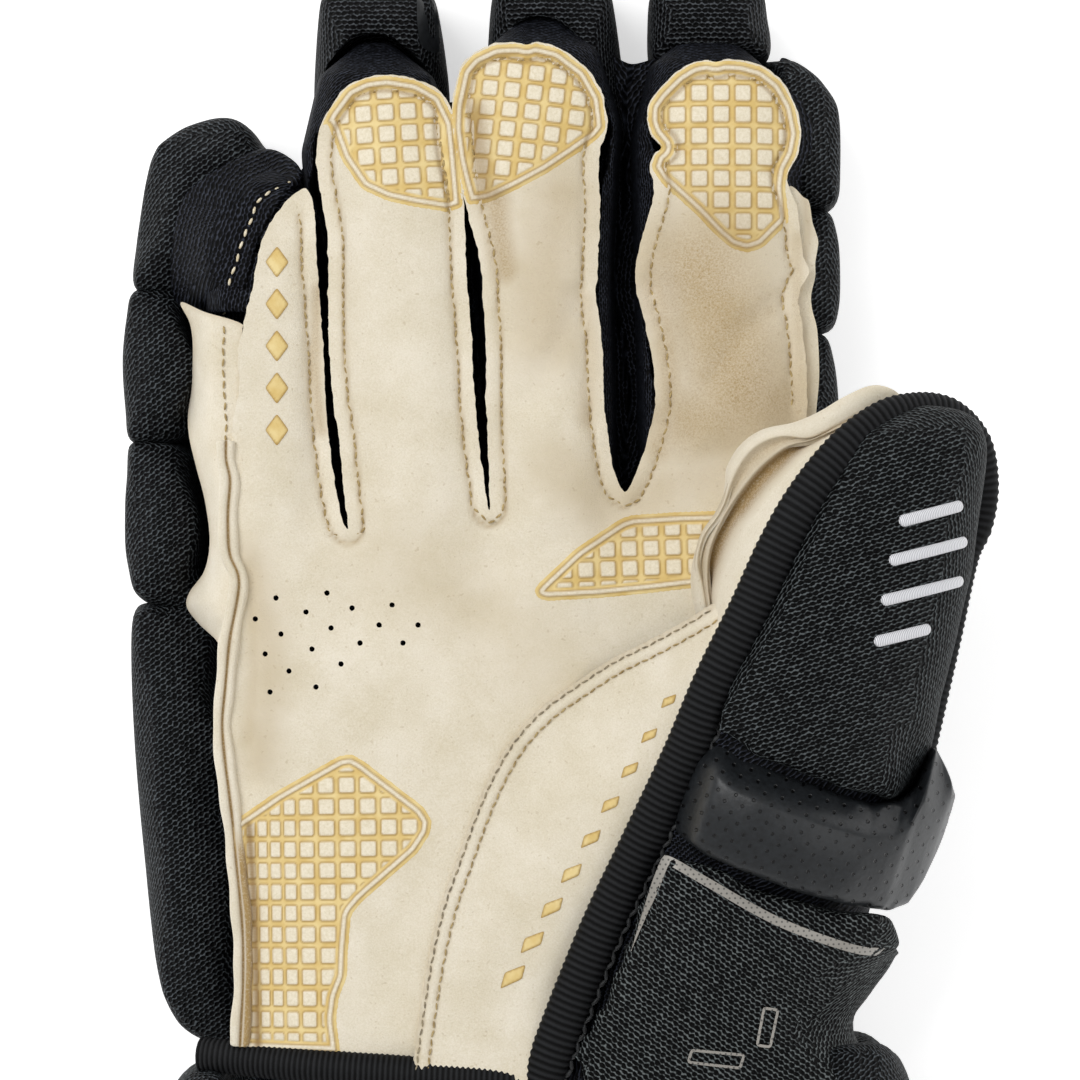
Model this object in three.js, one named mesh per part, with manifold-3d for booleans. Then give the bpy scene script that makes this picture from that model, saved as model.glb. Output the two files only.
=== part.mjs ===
// An ice hockey glove for the right hand, lying on its back with the palm up.
// Millimetres. +X points to the thumb side, +Y to the fingertips and +Z up, out of the palm.
// The origin is where the middle roll of the back rests on the surface.
import * as THREE from "three";
import { mergeVertices } from "three/addons/utils/BufferGeometryUtils.js";
import Module from "manifold-3d";

const wasm = await Module();
wasm.setup();

// Walls and clearances
const SUEDE = 1.6; // palm and thumb leather
const KNIT = 1.8; // knitted sleeves, side strips and the lining
const GAP = 0.3; // between neighbouring pieces
const SEAM = 3; // how far leather laps over the knit that it is sewn to

// The hand, without its padding
const WRIST_Y = -66; // the palm's lower edge
const PALM_LENGTH = 121; // from that edge to the finger crotches
const HAND_WIDTH = 130;
const HAND_CENTRE = 5;
const HAND_HEIGHT = 37; // with its walls
const PALM_CUP = 3; // the hollow in the middle of the palm
const FINGER_LENGTH = 102; // leather of the middle finger, beyond the crotch
const FINGER_HALF = 15.8; // half the width of a finger
const FINGER_HEIGHT = 36;
const CAP_REACH = 10; // the knitted cap beyond the leather's tip
const VENT_RADIUS = 0.7;
const VENT_STEP = 10.6; // from one vent hole to the next in a row
const VENT_ROW = 4.2; // from row to row

// Padding
const BACK_PAD = 20; // under the back of the hand and the fingers
const PAD_REACH = 22; // a fingertip's pad beyond the leather's tip
const OUTER_PAD = 15; // beside the little finger, the index finger and the hand
const PAD_GAP = 1; // between one pad and the next

// The thumb, turned out from the hand
const THUMB_ROOT_X = 45;
const THUMB_SPLAY = 16; // degrees
const THUMB_LENGTH = 151;
const THUMB_LONG = 30; // half its section's long way
const THUMB_SHORT = 17;
const THUMB_LIFT = 73; // its tip above the surface
const THUMB_PAD = 9; // padding on its back
const BAND_WIDTH = 25;
const BAND_PROUD = 2.5;

// The cuff
const CUFF_LENGTH = 114;
const CUFF_TOP_WIDTH = 170;
const CUFF_WIDTH = 182; // at its open end
const CUFF_WALL = 13;
const CUFF_HEIGHT = 70;
const TAPE_RADIUS = 3.3; // the ribbed tape that binds the edges

const CROTCH_Y = WRIST_Y + PALM_LENGTH;
const HAND_MID = BACK_PAD + HAND_HEIGHT / 2;
const FINGER_MID = BACK_PAD + FINGER_HEIGHT / 2;
const CUFF_LAP = 6; // the cuff starts above the palm's lower edge
const CUFF_TOP_Y = WRIST_Y + CUFF_LAP;
const CUFF_END_Y = CUFF_TOP_Y - CUFF_LENGTH;
const SKY = 200; // beyond everything

const handX = (share) => HAND_CENTRE + share * HAND_WIDTH;
const palmY = (share) => WRIST_Y + share * PALM_LENGTH;

// The fingers. base and tip are centres, as shares of the hand's width, and length is a share of the
// middle finger's. baseHalf and tipHalf are shares of FINGER_HALF, for the knitted sleeve. leather holds
// the front's two edges: along the finger, and away from its centre as shares of FINGER_HALF. pads holds
// where each pad on the back starts, outer tells which side is padded too, and wider how much further
// the pads reach towards the index finger, as a share of FINGER_HALF.
const FINGERS = [
  {
    name: "pinky", base: -0.402, tip: -0.42, length: 0.687, baseHalf: 0.93, tipHalf: 0.97,
    outer: -1, pads: [-0.28, 0.22, 0.68],
    leather: [
      { along: 0.0, left: -0.34, right: 1.12 },
      { along: 0.33, left: -0.22, right: 1.06 },
      { along: 0.55, left: -0.13, right: 1.02 },
      { along: 0.78, left: 0.15, right: 0.96 },
      { along: 0.95, left: 0.5, right: 0.88 },
      { along: 1.0, left: 0.66, right: 0.78 },
    ],
  },
  {
    name: "ring", base: -0.135, tip: -0.181, length: 0.941, baseHalf: 0.91, tipHalf: 0.97,
    outer: 0, pads: [0.02, 0.4, 0.76],
    leather: [
      { along: 0.0, left: -0.96, right: 0.97 },
      { along: 0.23, left: -1.05, right: 0.94 },
      { along: 0.5, left: -1.05, right: 0.96 },
      { along: 0.72, left: -1.05, right: 0.93 },
      { along: 0.87, left: -0.92, right: 0.85 },
      { along: 0.96, left: -0.58, right: 0.5 },
      { along: 1.0, left: -0.15, right: 0.1 },
    ],
  },
  {
    name: "middle", base: 0.096, tip: 0.062, length: 1.0, baseHalf: 0.82, tipHalf: 1.0,
    outer: 0, wider: 0.5, pads: [0.02, 0.4, 0.76],
    leather: [
      { along: 0.02, left: -0.84, right: 0.92 },
      { along: 0.22, left: -0.8, right: 0.8 },
      { along: 0.45, left: -0.85, right: 0.8 },
      { along: 0.66, left: -0.98, right: 0.88 },
      { along: 0.84, left: -1.0, right: 1.02 },
      { along: 0.94, left: -0.66, right: 0.75 },
      { along: 1.0, left: -0.15, right: 0.15 },
    ],
  },
  {
    name: "index", base: 0.392, tip: 0.383, length: 0.966, baseHalf: 1.0, tipHalf: 1.0,
    outer: 1, pads: [0.02, 0.4, 0.68, 1.04],
    leather: [
      { along: 0.04, left: -1.1, right: 1.0 },
      { along: 0.23, left: -0.95, right: 1.04 },
      { along: 0.46, left: -1.07, right: 1.0 },
      { along: 0.57, left: -1.13, right: 0.95 },
      { along: 0.69, left: -0.9, right: 0.88 },
      { along: 0.8, left: -0.87, right: 0.98 },
      { along: 0.89, left: -0.95, right: 1.0 },
      { along: 0.97, left: -0.5, right: 0.53 },
      { along: 1.0, left: -0.15, right: 0.15 },
    ],
  },
];

// The hand's outline, as shares of the palm's length and of the hand's width. square is the exponent of
// its superellipse section.
const HAND_ROWS = [
  { along: -0.1, left: -0.475, right: 0.44, square: 2.6 },
  { along: 0.3, left: -0.5, right: 0.48, square: 2.8 },
  { along: 0.85, left: -0.515, right: 0.515, square: 4.2 },
  { along: 0.93, left: -0.515, right: 0.515, square: 4.6 },
];

// The palm leather's left edge and the edge of the thenar leather, in the same shares.
const PALM_EDGE = [
  { along: -0.005, across: -0.41 },
  { along: 0.3, across: -0.435 },
  { along: 0.6, across: -0.425 },
  { along: 0.97, across: -0.44 },
];
const THENAR_EDGE = [
  { along: -0.02, across: -0.12 },
  { along: 0.18, across: -0.105 },
  { along: 0.34, across: -0.065 },
  { along: 0.5, across: -0.005 },
  { along: 0.6, across: 0.046 },
  { along: 0.67, across: 0.115 },
  { along: 0.73, across: 0.2 },
  { along: 0.77, across: 0.265 },
  { along: 0.81, across: 0.35 },
];

// The thumb's sections along its length: the centre across, as a share of THUMB_LONG, and up, of
// THUMB_LIFT, the half widths as shares of THUMB_LONG and THUMB_SHORT, and how the long way leans.
const THUMB_ROWS = [
  { along: -0.07, across: 0.07, up: 0.56, long: 0.97, short: 0.88, lean: 155 },
  { along: 0.2, across: 0.23, up: 0.69, long: 1.0, short: 1.0, lean: 150 },
  { along: 0.42, across: 0.27, up: 0.83, long: 0.94, short: 1.0, lean: 146 },
  { along: 0.64, across: 0.3, up: 0.94, long: 0.86, short: 0.94, lean: 142 },
  { along: 0.82, across: 0.34, up: 0.99, long: 0.74, short: 0.85, lean: 140 },
];
const THUMB_TIP = { across: 0.42, up: 1.0 };
const THUMB_FREE = 0.55; // the share of its length where the thumb leaves the palm
const BAND_AT = 0.36; // where the band lies round it
const THUMB_MOUTH = 0.05; // how far its hollow runs on past its first row, into the hand

// The vent holes in the palm, in staggered rows. start counts in steps of VENT_STEP from the first hole.
const VENT_ROWS = [
  { start: 0, count: 2 },
  { start: -0.45, count: 4 },
  { start: 0.08, count: 4 },
  { start: -0.22, count: 4 },
  { start: 0.27, count: 2 },
  { start: -0.12, count: 2 },
];
const VENT_FIRST = { along: 0.84, across: -0.367 };

// The rolls across the back, in shares of the palm's length and, for the left end, of the hand's width.
const ROLLS = [
  { name: "lower", from: 0.06, to: 0.38, left: -0.46 },
  { name: "middle", from: 0.38, to: 0.67, left: -0.46 },
  { name: "upper", from: 0.67, to: 0.835, left: -0.46 },
  { name: "knuckle", from: 0.835, to: 1.0, left: -0.28 },
];
const ROLL_RIGHT = 0.5;

const lerp = (a, b, t) => a + (b - a) * t;
const clamp = (v, low, high) => Math.min(high, Math.max(low, v));
const radians = THREE.MathUtils.degToRad;
const lines = (low, high, count) => Array.from({ length: count }, (_, k) => lerp(low, high, k / (count - 1)));

// A table's values at a place along it, straight between its rows.
function tableAt(rows, along) {
  let k = 0;
  while (k < rows.length - 2 && along > rows[k + 1].along) k++;
  const t = clamp((along - rows[k].along) / (rows[k + 1].along - rows[k].along), 0, 1);
  return Object.fromEntries(Object.keys(rows[k]).map((key) => [key, lerp(rows[k][key], rows[k + 1][key], t)]));
}

function solidOf(geometry) {
  geometry.deleteAttribute("normal");
  geometry.deleteAttribute("uv");
  const merged = mergeVertices(geometry, 1e-4);
  const vertProperties = merged.attributes.position.array;
  const triVerts = new Uint32Array(merged.index.array);
  const solid = new wasm.Manifold(new wasm.Mesh({ numProp: 3, vertProperties, triVerts }));
  if (solid.volume() > 0) return solid;
  for (let i = 0; i < triVerts.length; i += 3) triVerts.subarray(i, i + 3).reverse();
  return new wasm.Manifold(new wasm.Mesh({ numProp: 3, vertProperties, triVerts }));
}

// The index of the quads between rings of points, one ring after another.
function bandIndex(ringCount, sides) {
  const index = [];
  for (let r = 0; r + 1 < ringCount; r++)
    for (let k = 0; k < sides; k++) {
      const [a, b] = [r * sides + k, r * sides + ((k + 1) % sides)];
      index.push(a, b, b + sides, a, b + sides, a + sides);
    }
  return index;
}

// A closed skin through rings of points, with a fan at each end, placed by a matrix.
function skin(rings, matrix = new THREE.Matrix4()) {
  const sides = rings[0].length;
  const centre = (ring) => ring.reduce((sum, p) => sum.add(p), new THREE.Vector3()).divideScalar(sides);
  const points = [...rings.flat(), centre(rings[0]), centre(rings.at(-1))];
  const index = bandIndex(rings.length, sides);
  for (let k = 0; k < sides; k++) {
    const [next, last] = [(k + 1) % sides, (rings.length - 1) * sides];
    index.push(points.length - 2, next, k, points.length - 1, last + k, last + next);
  }
  return solidOf(new THREE.BufferGeometry().setFromPoints(points).setIndex(index).applyMatrix4(matrix));
}

// A superellipse in an XZ plane: square is its exponent, and lean turns it.
function ring({ x, y, z, half, height, square = 2, lean = 0 }, sides) {
  const turn = new THREE.Matrix4().makeRotationY(-radians(lean));
  const push = (v, size) => Math.sign(v) * Math.abs(v) ** (2 / square) * size;
  return Array.from({ length: sides }, (_, k) => {
    const angle = (k * 2 * Math.PI) / sides;
    const point = new THREE.Vector3(push(Math.cos(angle), half), 0, push(Math.sin(angle), height));
    return point.applyMatrix4(turn).add(new THREE.Vector3(x, y, z));
  });
}

// Rows that round a loft off to a tip beyond its last row.
const DOME_STEPS = [42, 78];
function domed(rows, tip) {
  const last = rows.at(-1);
  return [
    ...rows,
    ...DOME_STEPS.map((degrees) => {
      const [reach, size] = [Math.sin(radians(degrees)), Math.cos(radians(degrees))];
      const [x, y, z] = ["x", "y", "z"].map((axis) => lerp(last[axis], tip[axis], reach));
      return { ...last, x, y, z, half: last.half * size, height: last.height * size };
    }),
  ];
}

function box(x0, y0, z0, x1, y1, z1) {
  const block = new THREE.BoxGeometry(x1 - x0, y1 - y0, z1 - z0);
  return solidOf(block.translate((x0 + x1) / 2, (y0 + y1) / 2, (z0 + z1) / 2));
}

// A rounded pad between two places in X and in Y: a ball pushed out towards a box, flat where it rests.
const PAD_SQUARE = 5; // the exponent of its rounded box
const PAD_SIDES = 12;
const PAD_RINGS = 6;
const underground = box(-2 * SKY, -2 * SKY, -SKY, 2 * SKY, 2 * SKY, 0);
function pad(left, right, from, to, middle, rise) {
  const ball = new THREE.SphereGeometry(1, PAD_SIDES, PAD_RINGS).rotateX(Math.PI / 2);
  ball.rotateZ(Math.PI / PAD_SIDES);
  const place = ball.getAttribute("position");
  const p = new THREE.Vector3();
  for (let i = 0; i < place.count; i++) {
    p.fromBufferAttribute(place, i);
    const size = p.toArray().reduce((sum, v) => sum + Math.abs(v) ** PAD_SQUARE, 0) ** (1 / PAD_SQUARE);
    place.setXYZ(i, p.x / size, p.y / size, p.z / size);
  }
  ball.scale((right - left) / 2, (to - from) / 2, rise);
  return solidOf(ball.translate((left + right) / 2, (from + to) / 2, middle)).subtract(underground);
}

// An upright prism over an outline in plan.
function prism(outline, low, high) {
  const shape = new THREE.Shape(outline.map(([x, y]) => new THREE.Vector2(x, y)));
  const geometry = new THREE.ExtrudeGeometry(shape, { depth: high - low, bevelEnabled: false });
  return solidOf(geometry.translate(0, 0, low));
}

// A slab under a height over the plan, on a grid of the given lines.
function slab(height, thickness, xs, ys) {
  const rows = ys.map((y) => {
    const tops = xs.map((x) => new THREE.Vector3(x, y, height(x, y)));
    return [...tops, ...tops.map((p) => p.clone().setZ(p.z - thickness)).reverse()];
  });
  const sides = 2 * xs.length;
  const index = bandIndex(rows.length, sides);
  for (const start of [0, (rows.length - 1) * sides])
    for (let k = 0; k + 1 < xs.length; k++) {
      const [a, b, c, d] = [start + k, start + k + 1, start + sides - 2 - k, start + sides - 1 - k];
      index.push(...(start ? [a, b, c, a, c, d] : [a, c, b, a, d, c]));
    }
  return solidOf(new THREE.BufferGeometry().setFromPoints(rows.flat()).setIndex(index));
}

// A round tape along a path, its ends closed.
const TAPE_SIDES = 8;
function tape(points, radius, steps) {
  const outline = lines(0, 2 * Math.PI, TAPE_SIDES + 1).slice(1);
  const section = new THREE.Shape(
    outline.map((a) => new THREE.Vector2(radius * Math.cos(a), radius * Math.sin(a))),
  );
  return solidOf(new THREE.ExtrudeGeometry(section, { steps, extrudePath: new THREE.CatmullRomCurve3(points) }));
}

const joined = (solids) => solids.reduce((sum, solid) => sum.add(solid));
const without = (solid, cuts) => cuts.reduce((left, cut) => left.subtract(cut), solid);

// The largest body of a cut solid, so that no crumb of a cut stays with it.
function mainBody(solid) {
  return solid.decompose().reduce((best, body) => (body.volume() > best.volume() ? body : best));
}

// The hand's form. grow is positive for the clearance around it and negative for the space inside it.
const HAND_SIDES = 16;
function handForm(grow) {
  const rows = HAND_ROWS.map(({ along, left, right, square }) => ({
    x: handX((left + right) / 2), y: palmY(along), z: HAND_MID,
    half: (HAND_WIDTH * (right - left)) / 2 + grow, height: HAND_HEIGHT / 2 + grow, square,
  }));
  const last = rows.at(-1);
  if (grow < 0) rows[0].y -= 2 * KNIT;
  const tip = { x: last.x, y: CROTCH_Y + grow, z: last.z };
  return skin(domed(rows, tip).map((row) => ring(row, HAND_SIDES)));
}

// A finger's form, from inside the hand to the end of its knitted cap.
const FINGER_SQUARE = 3.2;
const FINGER_SIDES = 12;
const ROOT = 0.18; // how far a finger's form starts inside the hand, as a share of its length
const CAP_FROM = 0.84; // where its tip starts to round off
const TIP_LOW = FINGER_HEIGHT / 8; // how far the tip lies under the middle of the finger
const fingerY = (finger, along) => CROTCH_Y + along * finger.length * FINGER_LENGTH;
const fingerX = (finger, along) => handX(lerp(finger.base, finger.tip, clamp(along, 0, 1)));
const fingerHalf = (finger, along) => FINGER_HALF * lerp(finger.baseHalf, finger.tipHalf, clamp(along, 0, 1));
function fingerForm(finger, grow) {
  const rows = [-ROOT, 0, CAP_FROM].map((along) => ({
    x: fingerX(finger, along), y: fingerY(finger, along), z: FINGER_MID,
    half: fingerHalf(finger, along) + grow, height: FINGER_HEIGHT / 2 + grow, square: FINGER_SQUARE,
  }));
  const tip = { x: fingerX(finger, 1), y: fingerY(finger, 1) + CAP_REACH + grow, z: FINGER_MID - TIP_LOW };
  return skin(domed(rows, tip).map((row) => ring(row, FINGER_SIDES)));
}

// The thumb's form between two places along it. shift moves its sections towards the thumb's back.
const THUMB_SIDES = 16;
const THUMB_FRAME = new THREE.Matrix4()
  .makeTranslation(THUMB_ROOT_X, WRIST_Y, 0)
  .multiply(new THREE.Matrix4().makeRotationZ(-radians(THUMB_SPLAY)));
const [THUMB_FROM, THUMB_TO] = [THUMB_ROWS[0].along, THUMB_ROWS.at(-1).along];
function thumbRow(along, grow = 0, shift = 0) {
  const { across, up, long, short, lean } = tableAt(THUMB_ROWS, along);
  return {
    x: across * THUMB_LONG + shift * Math.sin(radians(lean)), y: along * THUMB_LENGTH,
    z: up * THUMB_LIFT - shift * Math.cos(radians(lean)),
    half: long * THUMB_LONG + grow, height: short * THUMB_SHORT + grow, lean,
  };
}
const thumbTip = (grow, shift) => ({
  x: THUMB_TIP.across * THUMB_LONG + shift / 2, y: THUMB_LENGTH + grow, z: THUMB_TIP.up * THUMB_LIFT + shift / 2,
});
function thumbForm(grow, shift = 0, from = THUMB_FROM, to = 1) {
  const between = THUMB_ROWS.map((row) => row.along).filter((along) => along > from && along < to);
  const stops = [from, ...between, ...(to < THUMB_TO ? [to] : [])];
  const rows = stops.map((along) => thumbRow(along, grow, shift));
  const rounded = to < THUMB_TO ? rows : domed(rows, thumbTip(grow, shift));
  return skin(rounded.map((row) => ring(row, THUMB_SIDES)), THUMB_FRAME);
}

// A place on the thumb's edge, where leather meets padding: side 1 is the ridge that faces the palm and
// -1 the far edge.
function thumbEdge(along, side, out) {
  const { x, y, z, half, lean } = thumbRow(along, out);
  const reach = side * half;
  return new THREE.Vector3(x + reach * Math.cos(radians(lean)), y, z + reach * Math.sin(radians(lean)))
    .applyMatrix4(THUMB_FRAME);
}

// Heights of the leather: it lies on the form under it, and beyond its edge stands straight out.
const EDGE_HOLD = 0.9;
const roofOf = (mid, height, across, square) =>
  mid + (height / 2) * (1 - clamp(Math.abs(across), 0, EDGE_HOLD) ** square) ** (1 / square);
const CUP = { along: 0.5, across: -0.02, size: 0.3 };
const TIP_DROP = CAP_REACH * 0.4; // how far the leather dips at a fingertip
function palmHeight(x, y) {
  const along = (y - WRIST_Y) / PALM_LENGTH;
  const hand = tableAt(HAND_ROWS, along);
  const [mid, half] = [handX((hand.left + hand.right) / 2), ((hand.right - hand.left) / 2) * HAND_WIDTH];
  const onHand = roofOf(HAND_MID, HAND_HEIGHT, (x - mid) / half, hand.square);
  const near = FINGERS.map((finger) => {
    const up = (y - CROTCH_Y) / (finger.length * FINGER_LENGTH);
    return { up, across: (x - fingerX(finger, up)) / fingerHalf(finger, up) };
  }).reduce((best, next) => (Math.abs(next.across) < Math.abs(best.across) ? next : best));
  const onFinger = roofOf(FINGER_MID, FINGER_HEIGHT, near.across, FINGER_SQUARE);
  const blend = THREE.MathUtils.smoothstep(near.up, -0.3, 0.05);
  const tipDrop = TIP_DROP * THREE.MathUtils.smoothstep(near.up, 0.8, 1.05);
  const away = Math.hypot(x - handX(CUP.across), y - palmY(CUP.along)) / HAND_WIDTH;
  const cup = PALM_CUP * Math.exp(-((away / CUP.size) ** 2));
  return lerp(onHand, onFinger, blend) - tipDrop - cup + SUEDE + 2 * GAP;
}

const edgePoints = (rows) => rows.map(({ along, across }) => [handX(across), palmY(along)]);

// The palm in plan, with the fronts of the fingers. inset draws its edges in.
const CROTCH_DROP = 2;
function palmOutline(inset = 0) {
  const outline = edgePoints(PALM_EDGE).map(([x, y]) => [x + inset, Math.max(y, WRIST_Y + inset)]);
  FINGERS.forEach((finger, k) => {
    const rows = finger.leather.filter((row) => !inset || row.along < 0.97);
    const side = (row, key) => [
      fingerX(finger, row.along) + row[key] * FINGER_HALF + (key === "left" ? inset : -inset),
      Math.min(fingerY(finger, row.along), fingerY(finger, 1) - inset),
    ];
    outline.push(...rows.map((row) => side(row, "left")), ...rows.map((row) => side(row, "right")).reverse());
    const next = FINGERS[k + 1];
    if (!next) return;
    const right = fingerX(finger, 0) + finger.leather[0].right * FINGER_HALF;
    const left = fingerX(next, 0) + next.leather[0].left * FINGER_HALF;
    outline.push([(left + right) / 2, CROTCH_Y - inset - CROTCH_DROP]);
  });
  const lap = 3 * SEAM - inset; // the palm runs on under the thenar leather
  outline.push([handX(0.5) - inset, palmY(0.64)]);
  outline.push(...edgePoints(THENAR_EDGE.slice(0, 6)).reverse().map(([x, y]) => [x + lap, y - lap / 2]));
  return outline;
}

const LEATHER_LINES = [-0.93, -0.6, 0, 0.6, 0.93];
const MIN_STEP = 2;
const palmXs = FINGERS.flatMap((finger) => {
  const middle = fingerX(finger, 0.5);
  return LEATHER_LINES.map((u) => middle + u * FINGER_HALF);
}).concat(handX(-0.52), handX(0.56)).sort((a, b) => a - b).filter((x, k, all) => !k || x - all[k - 1] > MIN_STEP);
const palmYs = [
  ...lines(palmY(-0.1), palmY(0.72), 3),
  ...lines(palmY(0.9), palmY(1.03), 2),
  ...lines(CROTCH_Y + 0.5 * FINGER_LENGTH, CROTCH_Y + 1.05 * FINGER_LENGTH, 4),
];

// The thenar leather: from its seam on the palm up to the ridge of the thumb.
const RIDGE_STOPS = [-0.05, 0.1, 0.22, 0.36, THUMB_FREE];
const RIDGE_OUT = 2; // how far the leather runs under the tape
const ridgeLine = RIDGE_STOPS.map((along) => thumbEdge(along, 1, RIDGE_OUT));
const thenarOutline = (inset = 0) => [
  ...edgePoints(THENAR_EDGE).map(([x, y]) => [x + inset, y - inset]),
  ...[...ridgeLine].reverse().map((p) => [p.x - inset, p.y - inset]),
];
function ridgeAtY(y) {
  let k = 0;
  while (k < ridgeLine.length - 2 && y > ridgeLine[k + 1].y) k++;
  const t = clamp((y - ridgeLine[k].y) / (ridgeLine[k + 1].y - ridgeLine[k].y), 0, 1);
  return ridgeLine[k].clone().lerp(ridgeLine[k + 1], t);
}
const THENAR_SWELL = 1.25;
function thenarHeight(x, y) {
  const start = handX(tableAt(THENAR_EDGE, (y - WRIST_Y) / PALM_LENGTH).across);
  const ridge = ridgeAtY(y);
  const share = clamp((x - start) / Math.max(1, ridge.x - start), 0, 1);
  const seated = palmHeight(start, y) + SUEDE + GAP;
  return Math.max(palmHeight(x, y) + SUEDE + GAP, lerp(seated, ridge.z, share ** THENAR_SWELL));
}
const thenarXs = lines(handX(-0.16), handX(0.45), 7);
const thenarYs = lines(palmY(-0.08), palmY(0.88), 6);

// The forms, the space inside them and the clearance around them
const handOuter = handForm(0);
const handClear = handForm(GAP);
const fingerOuters = FINGERS.map((finger) => fingerForm(finger, 0));
const fingerClears = FINGERS.map((finger) => fingerForm(finger, GAP));
const thumbOuter = thumbForm(0);
const thumbClear = thumbForm(GAP);
const thumbInner = thumbForm(-KNIT, 0, THUMB_FROM - THUMB_MOUTH);
const hollow = joined([handForm(-KNIT), ...FINGERS.map((finger) => fingerForm(finger, -KNIT)), thumbInner]);
const freeFrom = THUMB_FREE * THUMB_LENGTH;
const beyondFree = (slack) => {
  const block = new THREE.BoxGeometry(SKY, SKY, SKY).translate(0, freeFrom - slack + SKY / 2, THUMB_LIFT);
  return solidOf(block.applyMatrix4(THUMB_FRAME));
};
const thumbFree = beyondFree(0);
const thumbFreeClear = beyondFree(GAP);

// Ribbed tapes on the edges
const TIP_TURNS = lines(75, -75, 5);
function thumbTapePath() {
  const out = TAPE_RADIUS + GAP;
  const near = [-0.03, ...RIDGE_STOPS.slice(1), 0.7, THUMB_TO].map((along) => thumbEdge(along, 1, out));
  const far = [THUMB_TO, 0.7, 0.55, 0.45].map((along) => thumbEdge(along, -1, out));
  const { x, y, z, half, lean } = thumbRow(THUMB_TO, out);
  const tip = thumbTip(out, 0);
  const round = TIP_TURNS.map((degrees) => {
    const [reach, side] = [Math.cos(radians(degrees)), half * Math.sin(radians(degrees))];
    const place = new THREE.Vector3(lerp(x, tip.x, reach), lerp(y, tip.y, reach), lerp(z, tip.z, reach));
    place.x += side * Math.cos(radians(lean));
    place.z += side * Math.sin(radians(lean));
    return place.applyMatrix4(THUMB_FRAME);
  });
  return [...near, ...round, ...far];
}
const TAPE_STEPS = { thumb: 24, heel: 8, rim: 20 };
const thumbTape = (grow) => tape(thumbTapePath(), TAPE_RADIUS + grow, TAPE_STEPS.thumb);
const HEEL_STOPS = [-0.44, -0.3, -0.15, 0.0, 0.06];
const HEEL_SLOPE = 0.06; // it runs down towards the thumb
const heelPath = HEEL_STOPS.map((share) => {
  const [x, y] = [handX(share), WRIST_Y - HEEL_SLOPE * (share - HEEL_STOPS[0]) * HAND_WIDTH];
  return new THREE.Vector3(x, y, palmHeight(x, y) - SUEDE / 2);
});
const heelTape = (grow) => tape(heelPath, TAPE_RADIUS + grow, TAPE_STEPS.heel);
const heelRoom = TAPE_RADIUS + 2 * GAP;
const heelWindow = box(heelPath[0].x - heelRoom, -SKY, HAND_MID, heelPath.at(-1).x + heelRoom, WRIST_Y + SEAM, SKY);

// Leather of the palm and the fronts of the fingers, one piece, with its vent holes
const VENT_SIDES = 5;
const VENT_SLOPE = 0.12; // the rows rise a little towards the thumb
const vents = VENT_ROWS.flatMap(({ start, count }, row) =>
  lines(start, start + count - 1, count).map((step) => {
    const hole = new THREE.CylinderGeometry(VENT_RADIUS, VENT_RADIUS, SKY, VENT_SIDES).rotateX(Math.PI / 2);
    const [across, down] = [step * VENT_STEP, row * VENT_ROW - step * VENT_STEP * VENT_SLOPE];
    return solidOf(hole.translate(handX(VENT_FIRST.across) + across, palmY(VENT_FIRST.along) - down, HAND_MID));
  }),
);
const palmSheet = slab(palmHeight, SUEDE, palmXs, palmYs);
const palmLeather = mainBody(
  without(palmSheet.intersect(prism(palmOutline(), 0, SKY)), [thumbClear, heelTape(GAP), ...vents]),
);

// Leather of the thenar, lapped over the palm
const underThenar = slab((x, y) => palmHeight(x, y) + GAP, SKY, palmXs, palmYs);
const thenarCut = slab(thenarHeight, SUEDE, thenarXs, thenarYs).intersect(prism(thenarOutline(), 0, SKY));
const thenarLeather = mainBody(without(thenarCut, [underThenar, thumbFreeClear, thumbTape(GAP), heelTape(GAP)]));

// The lining of the hand, open under the leather and into the fingers and the thumb
const windowFloor = HAND_MID + HAND_HEIGHT / 8;
const palmWindow = prism(palmOutline(SEAM), windowFloor, SKY);
const thenarWindow = prism(thenarOutline(SEAM), windowFloor, SKY);
const overPalm = slab((x, y) => palmHeight(x, y) - SUEDE - GAP + SKY, SKY, palmXs, palmYs);
const overThenar = slab((x, y) => thenarHeight(x, y) - SUEDE - GAP + SKY, SKY, thenarXs, thenarYs)
  .intersect(prism(thenarOutline(-SEAM), 0, 2 * SKY));
const walls = [hollow, palmWindow, thenarWindow, heelWindow, heelTape(GAP), thumbTape(GAP)];
const thumbRoot = thumbOuter.subtract(thumbFreeClear);
const handWall = without(handOuter.subtract(overPalm).add(thumbRoot), [...walls, overThenar]);

// The leather strips beside the little finger and the index finger take the place of the knit there
const STRIP_Z = HAND_MID - HAND_HEIGHT / 8;
const STRIP_NEAR = 0.36; // its inner side, as a share of the hand's width
const STRIPS = [
  { name: "side_gusset", finger: 0, side: -1, from: palmY(0.55), to: fingerY(FINGERS[0], 0.62) },
  { name: "index_gusset", finger: 3, side: 1, from: palmY(0.97), to: fingerY(FINGERS[3], 0.66) },
];
const stripBox = ({ side, from, to }, slack) => {
  const [near, far] = [handX(side * STRIP_NEAR), handX(side)];
  return box(Math.min(near, far), from - slack, STRIP_Z - slack, Math.max(near, far), to + slack, SKY);
};
const stripClears = STRIPS.map((strip) => stripBox(strip, GAP));
const gussets = STRIPS.map((strip) => {
  const form = handOuter.add(fingerOuters[strip.finger]).subtract(overPalm);
  return mainBody(without(form.intersect(stripBox(strip, 0)), [...walls, thumbClear]));
});
const lining = mainBody(without(handWall, stripClears));

// Knitted sleeves of the fingers and the leather sleeve of the thumb
const sleeves = FINGERS.map((finger, k) => {
  const taken = [...walls, handClear, overPalm, ...stripClears, ...fingerClears.slice(0, k)];
  return mainBody(without(fingerOuters[k], taken));
});
const thumbSleeve = mainBody(without(thumbOuter.intersect(thumbFree), [hollow, handClear, thumbTape(GAP)]));

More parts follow.
